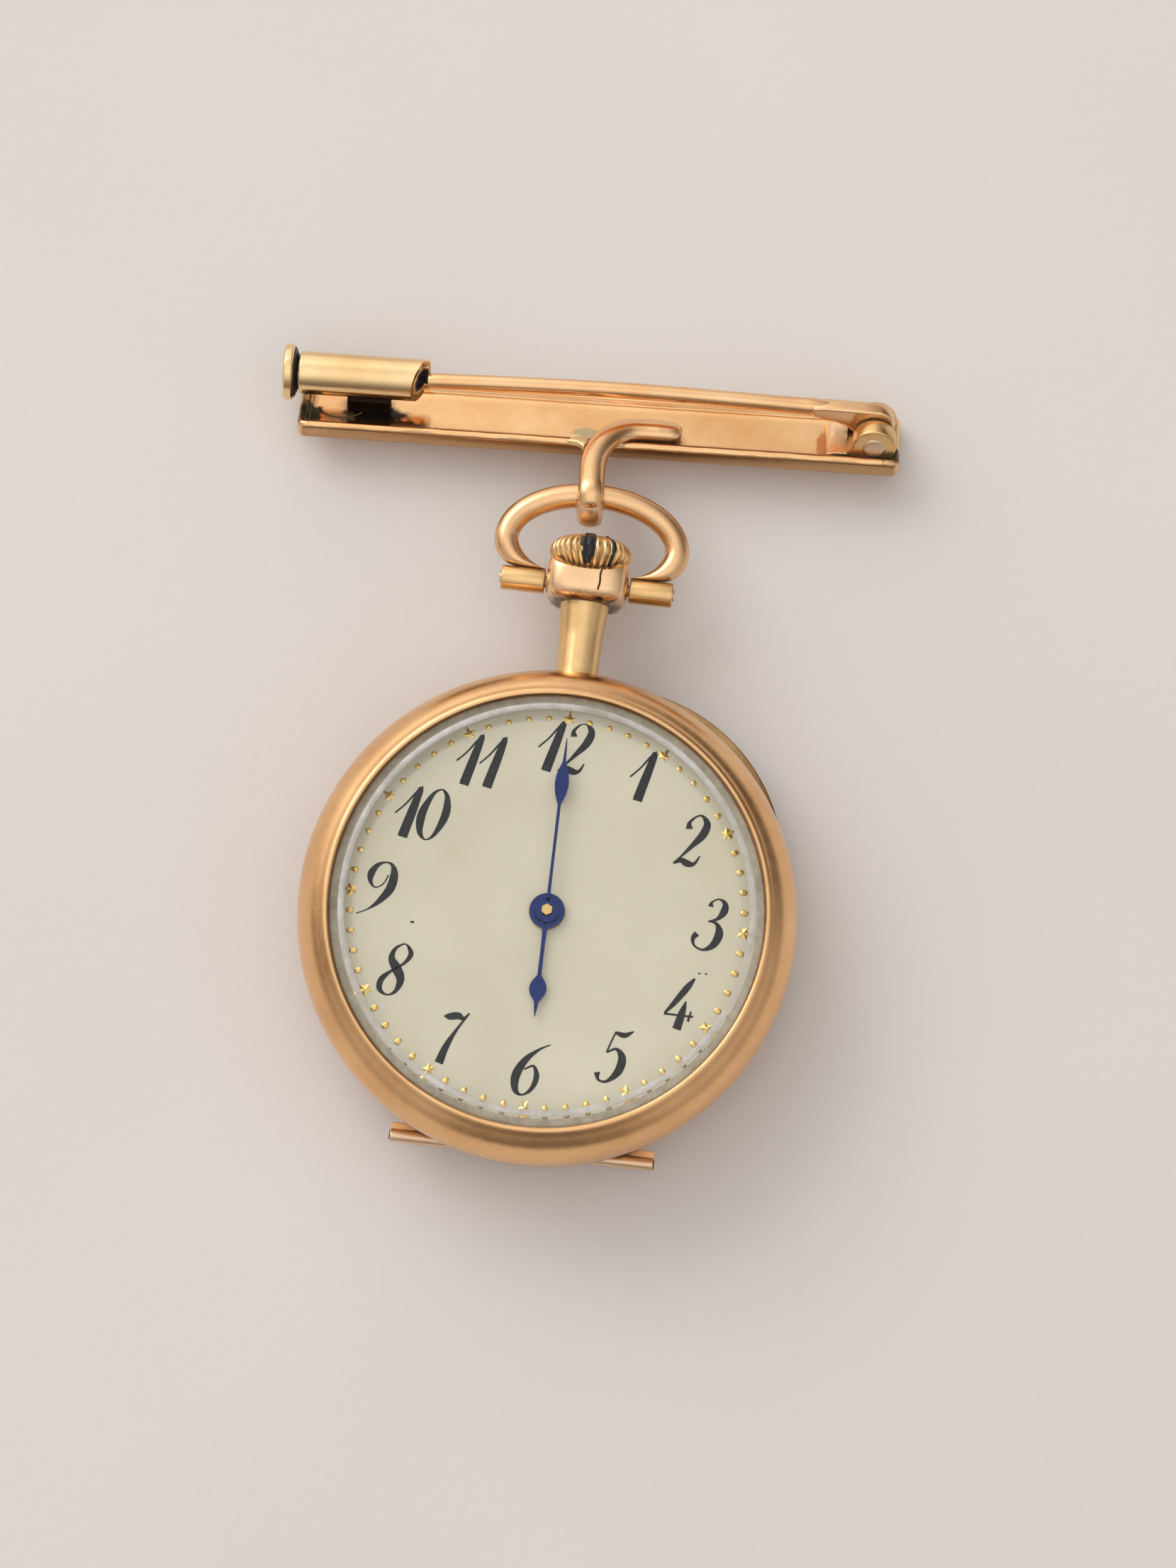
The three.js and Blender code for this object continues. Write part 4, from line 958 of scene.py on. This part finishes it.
NUMERAL_SHIFT = {2: (-0.3, 0.0), 9: (-0.24, -0.04), 8: (-0.05, 0.08), 10: (0.1, 0.0)}
DIGIT_OFFSETS = {1: [0.0], 2: [-0.24, 0.2]}  # by how many digits there are, in numeral heights
INK_LIFT, INK_STEP = 0.006, 0.0015  # strokes lie at three levels, so that none share a plane


def ribbon(stroke, centre, height):
    """A pen stroke as a flat strip in the plane of the dial."""
    path = smooth_path(stroke, 9)
    path[:, 0] *= NARROW
    path[:, 0] += SLANT * (path[:, 1] - 0.5)
    path[:, 1] -= 0.5
    path *= NUMERAL_HEIGHT
    along = np.gradient(path[:, :2], axis=0)
    along /= np.linalg.norm(along, axis=1)[:, None] + 1e-9
    across = np.stack([-along[:, 1], along[:, 0]], axis=1)
    half = path[:, 2:3] / 2 * PEN_SHARE
    left, right = path[:, :2] + across * half, path[:, :2] - across * half
    pairs = np.stack([left, right], axis=1).reshape(-1, 2) + centre
    faces = [(2 * i, 2 * i + 1, 2 * i + 3, 2 * i + 2) for i in range(len(path) - 1)]
    return [(x, y, height) for x, y in pairs], faces


def make_numerals():
    points, faces = [], []
    strokes_made = 0
    for hour in range(1, 13):
        angle = math.radians(90 - 30 * hour)
        radius = NUMERAL_RADIUS.get(hour, USUAL_NUMERAL_RADIUS)
        middle = np.array((radius * math.cos(angle), radius * math.sin(angle) + NUMERAL_RISE))
        middle += NUMERAL_SHIFT.get(hour, (0, 0))
        digits = str(hour)
        for digit, offset in zip(digits, DIGIT_OFFSETS[len(digits)]):
            for stroke in STROKES[digit]:
                height = DIAL_TOP + INK_LIFT + INK_STEP * (strokes_made % 3)
                add_shape(points, faces, *ribbon(stroke, middle + (offset * NUMERAL_HEIGHT, 0), height))
                strokes_made += 1
    piece("dial_numerals", points, faces, INK, "case", slot="enamel", smooth=False)


MARKER_RADIUS = 9.6
STAR_SIZE, STAR_WAIST = 0.34, 0.52
STUD_SIZE, STUD_SIDES = 0.155, 12
SPECKS = [(-6.45, -1.26, 0.075), (7.68, -2.18, 0.05), (8.0, -2.16, 0.05)]
DIAL_OUTLINE = [(0.85, 6.2), (10.4, 6.2), (10.4, 6.46), (10.2, DIAL_TOP), (0.85, DIAL_TOP)]


def star(centre, turn):
    """A five-pointed star raised to a low point."""
    x, y = centre
    points = [(x, y, DIAL_TOP + 0.07)]
    for i in range(10):
        radius = STAR_SIZE if i % 2 == 0 else STAR_SIZE * STAR_WAIST
        angle = turn + math.pi * i / 5
        points.append((x + radius * math.cos(angle), y + radius * math.sin(angle), DIAL_TOP + 0.01))
    return points, [(0, 1 + i, 1 + (i + 1) % 10) for i in range(10)]


def stud(centre):
    """A low round dot."""
    points = []
    for share, rise in ((1.0, 0.004), (0.85, 0.035), (0.5, 0.058)):
        rim = circle(STUD_SIZE * share, STUD_SIDES)
        points += [(centre[0] + a, centre[1] + b, DIAL_TOP + rise) for a, b in rim]
    top = len(points)
    inner = top - STUD_SIDES
    points.append((*centre, DIAL_TOP + 0.065))
    faces = grid_faces(3, STUD_SIDES, wrap_columns=True)
    return points, faces + [(inner + i, inner + (i + 1) % STUD_SIDES, top) for i in range(STUD_SIDES)]


def make_markers():
    points, faces = [], []
    for minute in range(60):
        angle = math.radians(90 - 6 * minute)
        centre = (MARKER_RADIUS * math.cos(angle), MARKER_RADIUS * math.sin(angle))
        add_shape(points, faces, *(star(centre, angle) if minute % 5 == 0 else stud(centre)))
    piece("dial_markers", points, faces, MARKER, "case", slot="polished_gold", smooth=False)


def make_specks():
    """Three tiny dark specks in the enamel."""
    points, faces = [], []
    for x, y, size in SPECKS:
        rim = [(x + a * 1.5, y + b * 0.8, DIAL_TOP + INK_LIFT) for a, b in circle(size, 8)]
        add_shape(points, faces, rim, [tuple(range(8))])
    piece("dial_specks", points, faces, INK, "case", slot="enamel", smooth=False)


def make_dial():
    disc = ring(DIAL_OUTLINE, 0.06, on_dial, ROUND_SIDES)
    piece("dial_disc", *disc, ENAMEL, "case", "dial", "enamel")
    make_numerals()
    make_markers()
    make_specks()


def hand_outline(hub, length, bulb, stem):
    """Half the outline of a pear-shaped hand, then its mirror image."""
    half = [
        (0.3 * hub, hub * 0.92), (stem, hub * 1.3), (stem * 0.9, length * 0.58),
        (stem * 1.25, length * 0.62), (bulb * 0.75, length * 0.67), (bulb, length * 0.735),
        (bulb * 0.8, length * 0.8), (stem * 1.1, length * 0.86), (stem * 0.7, length * 0.92),
        (0.02, length),
    ]
    half = [tuple(p) for p in smooth_path(half, 4)]
    return half + [(-x, y) for x, y in half[::-1]]


def make_hand(node, body, hub, hole, length, bulb, stem, low, high, turn):
    """A blued hand: its hub and hole are radii, its bulb and stem half widths, and low and high
    the heights of its two faces."""
    blade = slab(hand_outline(hub, length, bulb, stem), low, high, spun(turn))
    hollow = rod(hole, low - 1, high + 1, on_dial, 48)
    mesh = carved(blade, [hollow], [rod(hub, low, high, on_dial, 48)])
    dress(f"{node}_blade", mesh, BLUE, body, node, "blued_steel", bevel=0.02)


def make_hands():
    make_hand("hour_hand", "hours", 0.85, 0.55, 5.2, 0.42, 0.11, 6.77, 6.88, math.pi)
    make_hand("minute_hand", "minutes", 0.6, 0.3, 8.5, 0.34, 0.085, 7.05, 7.15, 0.0)


# ---------------------------------------------------------------- brooch

BAR_HALF, BAR_NEAR, BAR_FAR = 15.3, 3.24, 7.04
TROUGH_FLOOR = 0.38  # just under the floor, so that what stands there has no gap below it
# from the bar's front, round its rim and down into the trough: (inset from its outline, height)
BAR_SECTION = [
    (0.5, -0.15), (0.12, -0.15), (0.03, -0.11), (0.0, -0.03), (0.0, 0.5), (0.03, 0.6), (0.09, 0.69),
    (0.17, 0.745), (0.29, 0.76), (0.38, 0.73), (0.43, 0.66), (0.47, 0.56), (0.55, 0.46), (0.7, 0.41),
    (0.95, 0.4),
]


def rounded_rectangle(half_x, near, far, corner, steps=8):
    left, right = -half_x + corner, half_x - corner
    low, high = near + corner, far - corner
    out = []
    for start, centre in ((180, (left, low)), (270, (right, low)), (0, (right, high)), (90, (left, high))):
        out += arc(corner, start, start + 90, steps, centre)
    return out


def make_bar():
    loops = []
    for inset, h in BAR_SECTION:
        corner = max(0.42 - 0.6 * inset, 0.12)
        outline = rounded_rectangle(BAR_HALF - inset, BAR_NEAR + inset, BAR_FAR - inset, corner)
        loops.append(on_brooch([(x, s, h) for x, s in outline]))
    piece("bar_trough", *stacked(loops), TROUGH, "brooch", "brooch_bar", "polished_gold")


HOOK_X = -0.14
HOOK_FRONT_RADIUS, HOOK_BACK_RADIUS = 1.16, 1.03
SOLDER_LOW = 0.5
UPWARDS = (0, 0, 1.0)
# the hook's tail in the trough and the way out over its wall: places of (x, s, h)
HOOK_TAIL = [
    (4.2, 4.36, 0.8), (3.2, 4.4, 0.84), (2.3, 4.38, 0.86), (1.6, 4.26, 0.9), (1.1, 3.99, 0.96),
    (0.7, 3.6, 1.03), (0.35, 3.05, 1.1), (0.08, 2.4, 1.15), (-0.08, 1.75, 1.18), (HOOK_X, 1.1, 1.19),
    (HOOK_X, 0.5, 1.18),
]
HOOK_OVER = (90, 103, 117, 130, 142, 152, 160)  # degrees round the bow wire
HOOK_FRONT_SIZES = [
    (0, 0.5), (0.012, 0.78), (0.03, 0.92), (0.07, 1), (0.8, 1), (0.88, 0.95), (0.93, 0.8), (0.97, 0.58),
    (1, 0.25),
]
# the hook's end behind the bar: (place, which way is outwards)
HOOK_RETURN = [
    ((HOOK_X, 0.9, -0.98), (0, 0.1, -1.0)), ((HOOK_X, 1.8, -0.72), (0, 0.3, -0.95)),
    ((HOOK_X, 2.6, -0.36), (0, 0.4, -0.9)), ((HOOK_X, 3.12, -0.02), (0, 0.7, -0.7)),
    ((HOOK_X, 3.2, 0.25), (0, 1.0, -0.2)),
]
HOOK_BACK_SIZES = [(0, 0.7), (0.06, 0.94), (0.12, 1), (1, 0.9)]
SOLDER_LEFT = [
    (-1.6, 3.26), (-1.05, 3.2), (-0.82, 3.02), (-0.74, 2.8), (-0.5, 3.2), (-0.5, 3.6), (-0.9, 3.72),
    (-1.3, 3.62),
]
SOLDER_RIGHT = [(0.5, 2.8), (0.72, 3.08), (0.95, 3.22), (1.4, 3.27), (1.1, 3.5), (0.4, 3.55)]


def on_ring(degrees, radius):
    """A place on the hook's ring round the bow wire, and the way outwards there."""
    s, h = math.cos(math.radians(degrees)), math.sin(math.radians(degrees))
    return (HOOK_X, radius * s, radius * h), (0, s, h)


def half_round(half_wide, inner, outer):
    """A strap's section, nearly flat on the inside and round on the outside."""
    return [(x, y * (outer if y > 0 else inner)) for x, y in soft_box(half_wide, 1.0, 2.2, 32)]


def strap(name, stations, section, sizes, material, stands_for=None):
    """A soft-edged strap through (place, outwards) stations; sizes are (share of length, size)."""
    both = smooth_path([(*place, *out) for place, out in stations], 6)
    outward = both[:, 3:] @ BROOCH_AXES
    size = np.interp(np.linspace(0, 1, len(both)), *zip(*sizes))
    shape = sweep(on_brooch(both[:, :3]), section, outward, size)
    piece(name, *shape, material, "brooch", stands_for, "polished_gold")


def make_hook():
    front = [(place, UPWARDS) for place in HOOK_TAIL]
    front += [on_ring(degrees, HOOK_FRONT_RADIUS) for degrees in HOOK_OVER]
    strap("hook_front", front, half_round(0.65, 0.36, 0.45), HOOK_FRONT_SIZES, POLISHED, "hook")
    back = [on_ring(degrees, HOOK_BACK_RADIUS) for degrees in range(135, 271, 15)]
    strap("hook_back", back + HOOK_RETURN, half_round(0.67, 0.3, 0.42), HOOK_BACK_SIZES, PALE)
    for name, outline, top in (("left", SOLDER_LEFT, 0.86), ("right", SOLDER_RIGHT, 0.84)):
        solder = slab(outline, SOLDER_LOW, top, above_bar)
        piece(f"hook_solder_{name}", *solder, SOLDER, "brooch", slot="polished_gold", bevel=0.09)


TUBE_RADIUS, TUBE_OUTER, TUBE_MOUTH = 1.08, -15.31, -8.76
SLIDER_HEAD = TUBE_OUTER - 0.8
MOUTH_CUT = [
    (TUBE_MOUTH - 0.28, PIN_S + 0.3), (TUBE_MOUTH + 3, PIN_S + 0.3), (TUBE_MOUTH + 3, PIN_S - 2.2),
    (TUBE_MOUTH - 1.35, PIN_S - 2.2),
]
SLIDER_OUTLINE = [
    (0.57, TUBE_MOUTH - 0.03), (0.77, TUBE_MOUTH - 0.03), (0.77, SLIDER_HEAD + 0.52),
    (1.3, SLIDER_HEAD + 0.5), (1.42, SLIDER_HEAD + 0.42), (1.42, SLIDER_HEAD + 0.08),
    (1.3, SLIDER_HEAD), (0.6, SLIDER_HEAD - 0.04), (0, SLIDER_HEAD - 0.04), (0, TUBE_MOUTH - 3.5),
    (0.57, TUBE_MOUTH - 3.5),
]
# A black ring on the slider head's inner face: painted shade in the gap between the head and the tube.
HEAD_INNER_SHADE = [
    (0.74, SLIDER_HEAD + 0.5), (1.3, SLIDER_HEAD + 0.5), (1.24, SLIDER_HEAD + 0.56),
    (0.8, SLIDER_HEAD + 0.74), (0.74, SLIDER_HEAD + 0.74),
]
# A black lining inside the tube's mouth, round the pin: painted shade.
MOUTH_SHADE = [
    (0.45, TUBE_MOUTH - 2), (0.565, TUBE_MOUTH - 2), (0.565, TUBE_MOUTH - 0.08),
    (0.45, TUBE_MOUTH - 0.08),
]
CATCH_STAND_TOP = 1.32
CATCH_STAND = [(-12.9, 4.7), (-10.7, 4.7), (-10.7, 5.95), (-12.9, 5.95)]
CATCH_SEAM = [
    (-14.3, 4.9, 0.45), (-14.0, 4.5, 0.45), (-13.3, 4.3, 0.44), (-12.6, 4.4, 0.44), (-12.1, 4.65, 0.5),
]


def make_catch():
    """A trombone catch: a tube on a stand, and a sleeve in it that slides out by its round head."""
    in_catch = along_bar(PIN_S, PIN_H)
    knife = slab(MOUTH_CUT, 0.5, 4.0, above_bar)
    barrel = carved(tube(0.8, TUBE_RADIUS, TUBE_OUTER, TUBE_MOUTH, 0.06, in_catch, 64), [knife])
    dress("catch_barrel", barrel, CATCH_GOLD, "brooch", "catch_tube", "polished_gold", bevel=0.035)
    stand = slab(CATCH_STAND, TROUGH_FLOOR, CATCH_STAND_TOP, above_bar)
    # The stand is painted nearly black: painted shade under the tube, over residue.
    piece("catch_block", *stand, SHADED_BLACK, "brooch", "catch_base", "polished_gold", bevel=0.2)
    sleeve = carved(ring(SLIDER_OUTLINE, 0.03, in_catch, 64), [knife])
    dress("catch_sleeve", sleeve, CATCH_GOLD, "slider", "catch_slider", "polished_gold")
    # Painted shade on the head's inner face.
    head_shade = ring(HEAD_INNER_SHADE, 0.03, in_catch, 64)
    piece("catch_head_shade", *head_shade, RESIDUE_AND_SHADE, "slider", slot="polished_gold")
    # Painted shade inside the tube's mouth.
    lining = carved(revolve(MOUTH_SHADE, in_catch, 48, closed=True), [knife])
    dress("catch_mouth_shade", lining, RESIDUE_AND_SHADE, "slider", slot="polished_gold")
    seam = smooth_path(CATCH_SEAM, 8)
    bead = sweep(on_brooch(seam), circle(0.04, 8), np.tile(BROOCH_H, (len(seam), 1)))
    piece("catch_solder", *bead, SHADED_DARK_GOLD, "brooch", slot="polished_gold")


RIVET_X, RIVET_H = 13.97, 1.2
FOOT_NEAR, FOOT_FAR = 3.8, 6.15
TONGUE_NEAR, TONGUE_FAR = 4.86, 5.71
# name, near side, far side, and the CAD node that it stands for
EARS = [("near", FOOT_NEAR, 4.79, "hinge_bracket"), ("far", 5.78, FOOT_FAR, None)]
EAR_OUTLINE = [*arc(1.12, 0, 180, 24, (RIVET_X, RIVET_H)), (RIVET_X - 1.6, 0.42), (RIVET_X + 0.95, 0.42)]
FOOT_OUTLINE = [
    (RIVET_X - 2.5, TROUGH_FLOOR), (RIVET_X - 2.35, 0.62), (RIVET_X - 1.95, 0.74),
    (RIVET_X - 1.3, 0.74), (RIVET_X - 1.3, TROUGH_FLOOR),
]
RIVET_OUTLINE = [(0, 3.7), (0.46, 3.71), (0.6, 3.78), (0.6, 6.18), (0, 6.24)]


def make_pin_hinge():
    for name, near, far, node in EARS:
        ear = slab(EAR_OUTLINE, near, far, across_bar)
        piece(f"hinge_ear_{name}", *ear, BRASSY, "brooch", node, "polished_gold", bevel=0.12)
    foot = slab(FOOT_OUTLINE, FOOT_NEAR, FOOT_FAR, across_bar)
    piece("hinge_foot", *foot, HINGE_GOLD, "brooch", slot="polished_gold", bevel=0.06)

    def on_rivet(a, b, h):
        return across_bar(RIVET_X + a, RIVET_H + b, h)

    rivet = revolve(fillet(RIVET_OUTLINE, 0.05), on_rivet, 40)
    piece("hinge_rivet_rod", *rivet, PALE, "brooch", "hinge_rivet", "pale_gold")


TONGUE_OUTLINE = [
    *arc(0.95, -150, 10, 16, (RIVET_X, RIVET_H)), (RIVET_X + 0.98, 1.75), (RIVET_X + 0.88, 2.2),
    (RIVET_X + 0.6, 2.52), (RIVET_X + 0.2, 2.66), (13.3, PIN_H + 0.36), (12.4, PIN_H + 0.38),
    (11.4, PIN_H + 0.4), (10.8, PIN_H + 0.34), (10.6, PIN_H), (10.8, PIN_H - 0.3), (11.8, PIN_H - 0.5),
    (12.6, PIN_H - 0.8),
]
PIN_RADIUS = 0.41
# the pin's arch: (x, height over the catch's line, share of its radius)
PIN_ARCH = [
    (-8.7, 0, 0.8), (-8.4, 0.02, 0.98), (-4, 0.17, 1.0), (1, 0.26, 1.0), (6, 0.18, 1.0),
    (9.6, 0.06, 1.05), (10.8, 0.03, 1.1), (11.8, 0, 0.9),
]


def make_pin():
    tongue = slab(TONGUE_OUTLINE, TONGUE_NEAR, TONGUE_FAR, across_bar)
    piece("pin_tongue", *tongue, POLISHED, "pin", slot="polished_gold", bevel=0.16)
    route = smooth_path(PIN_ARCH, 8)
    where = on_brooch([(x, PIN_S, PIN_H + rise) for x, rise, _ in route])
    wire = sweep(where, circle(PIN_RADIUS, 24), np.tile(BROOCH_H, (len(where), 1)), route[:, 2])
    piece("pin_wire", *wire, POLISHED, "pin", "brooch_pin", "polished_gold")


# ---------------------------------------------------------------- movement: CAD nodes with worked metal

MOVEMENT = [
    (GILT, ["main_plate", "barrel_bridge", "train_bridge", "balance_cock", "pallet_bridge"]),
    (BRASS, ["mainspring_barrel", "barrel_lid", "centre_wheel", "third_wheel", "fourth_wheel",
             "escape_wheel", "balance_wheel", "minute_wheel", "hour_wheel"]),
    (STEEL, ["winding_stem", "sliding_pinion", "winding_pinion", "crown_wheel", "ratchet_wheel",
             "barrel_arbor", "click", "click_spring", "setting_lever", "pallet_fork", "regulator",
             "cannon_pinion"]),
    (BLUE, ["ratchet_screw", "crown_wheel_screw", "barrel_bridge_screw", "train_bridge_screw",
            "cock_screw", "case_screw_upper", "case_screw_lower", "mainspring", "hairspring"]),
]


def dress_movement():
    for material, names in MOVEMENT:
        for name in names:
            materials = frame["nodes"][name].data.materials
            materials.clear()
            materials.append(material)


# ---------------------------------------------------------------- floor, light, camera

FLOOR_HALF = 600 * MM


def paper():
    kit = Finish("paper")
    kit.drift((0.74, 0.70, 0.68), (0.77, 0.735, 0.715), (0.03, 3), 0.75, 0.9, (1.5, 6))
    kit.bump(kit.noise(1.2, 8, 0.7), 0.03)
    return kit.material


def make_floor():
    mesh = bpy.data.meshes.new("floor")
    corners = [(x * FLOOR_HALF, y * FLOOR_HALF, 0) for x, y in ((-1, -1), (1, -1), (1, 1), (-1, 1))]
    mesh.from_pydata(corners, [], [(0, 1, 2, 3)])
    floor = new_object("floor", mesh)
    floor.data.materials.append(paper())


WINDOW_LAMP = {"place": (-270, 260, 300), "aim": (0, 5, 0), "size": (300, 260), "power": 0.52}


def make_window_lamp():
    lamp = bpy.data.lights.new("window", "AREA")
    lamp.shape = "RECTANGLE"
    lamp.size, lamp.size_y = (side * MM for side in WINDOW_LAMP["size"])
    lamp.energy = WINDOW_LAMP["power"]
    lamp.color = (1.0, 0.985, 0.965)
    made = new_object("window", lamp)
    place = Vector(WINDOW_LAMP["place"])
    made.location = place * MM
    made.rotation_euler = (Vector(WINDOW_LAMP["aim"]) - place).to_track_quat("-Z", "Y").to_euler()


# The room is a few soft lobes: each is the way to its middle, then (nearness to it, colour) stops.
WHITE = (1.0, 1.0, 1.0)
CEILING = (
    (0, -0.16, 0.98), (0.0, (0.40, 0.37, 0.345)), (0.2, (0.53, 0.50, 0.48)), (0.4, (0.64, 0.61, 0.59)),
    (0.8, (0.75, 0.73, 0.71)), (1.0, (1.32, 1.29, 1.25)),
)
WINDOW_SIDE = ((-0.55, 0.80, 0.24), (0.45, (0, 0, 0)), (0.8, (0.75, 0.73, 0.70)), (1.0, (1.0, 0.97, 0.93)))
BEHIND_VIEWER = ((0.08, -0.95, 0.12), (0.8, WHITE), (0.93, (0.52, 0.48, 0.45)), (1.0, (0.34, 0.31, 0.29)))
DARK_LEFT = ((-0.98, -0.05, 0.12), (0.93, WHITE), (0.975, (0.70, 0.64, 0.58)), (1.0, (0.58, 0.53, 0.48)))
FAR_CORNER = ((0.62, 0.75, 0.22), (0.68, WHITE), (0.9, (0.48, 0.45, 0.42)), (1.0, (0.36, 0.33, 0.30)))
ROOM_STRENGTH = 0.9


def make_room():
    """Soft light from the ceiling and the window's side, and three darker places in the room."""
    world = bpy.data.worlds.new("room")
    bpy.context.scene.world = world
    world.use_nodes = True
    kit = Graph(world.node_tree)
    toward = kit.nodes.new("ShaderNodeTexCoord").outputs["Generated"]

    def lobe(way, *stops):
        return kit.ramp(kit.vector("DOT_PRODUCT", toward, Vector(way).normalized()), *stops)

    colour = kit.mix(1.0, lobe(*CEILING), lobe(*WINDOW_SIDE), "ADD")
    for darker in (BEHIND_VIEWER, DARK_LEFT, FAR_CORNER):
        colour = kit.mix(1.0, colour, lobe(*darker), "MULTIPLY")
    kit.fill(kit.nodes["Background"], Color=colour, Strength=ROOM_STRENGTH)


# in mm and degrees: turn is round the vertical, tilt is away from straight down
CAMERA = {"aim": (1.222, 6.809, 5.0), "distance": 203.08, "turn": 6.553, "tilt": 10.489, "lens": 94.54}


def make_camera():
    turn, tilt = math.radians(CAMERA["turn"]), math.radians(CAMERA["tilt"])
    image_up = Vector((-math.sin(turn), math.cos(turn), 0))
    right = Vector((math.cos(turn), math.sin(turn), 0))
    back = -math.sin(tilt) * image_up + math.cos(tilt) * Vector((0, 0, 1))
    up = back.cross(right)
    lens = bpy.data.cameras.new("camera")
    lens.sensor_fit = "VERTICAL"
    lens.sensor_height = 36
    lens.lens = CAMERA["lens"]
    lens.clip_start, lens.clip_end = 0.01, 5
    camera = new_object("camera", lens)
    where = (Vector(CAMERA["aim"]) + back * CAMERA["distance"]) * MM
    camera.matrix_world = Matrix.Translation(where) @ Matrix((right, up, back)).transposed().to_4x4()
    bpy.context.scene.camera = camera


make_camera()
make_floor()
make_window_lamp()
make_room()
make_bezel()
make_crystal()
make_band()
make_back()
make_cuvette()
make_pendant()
make_crown()
make_bow()
make_dial()
make_hands()
make_bar()
make_hook()
make_catch()
make_pin_hinge()
make_pin()
dress_movement()

bpy.context.scene.view_settings.view_transform = "Standard"
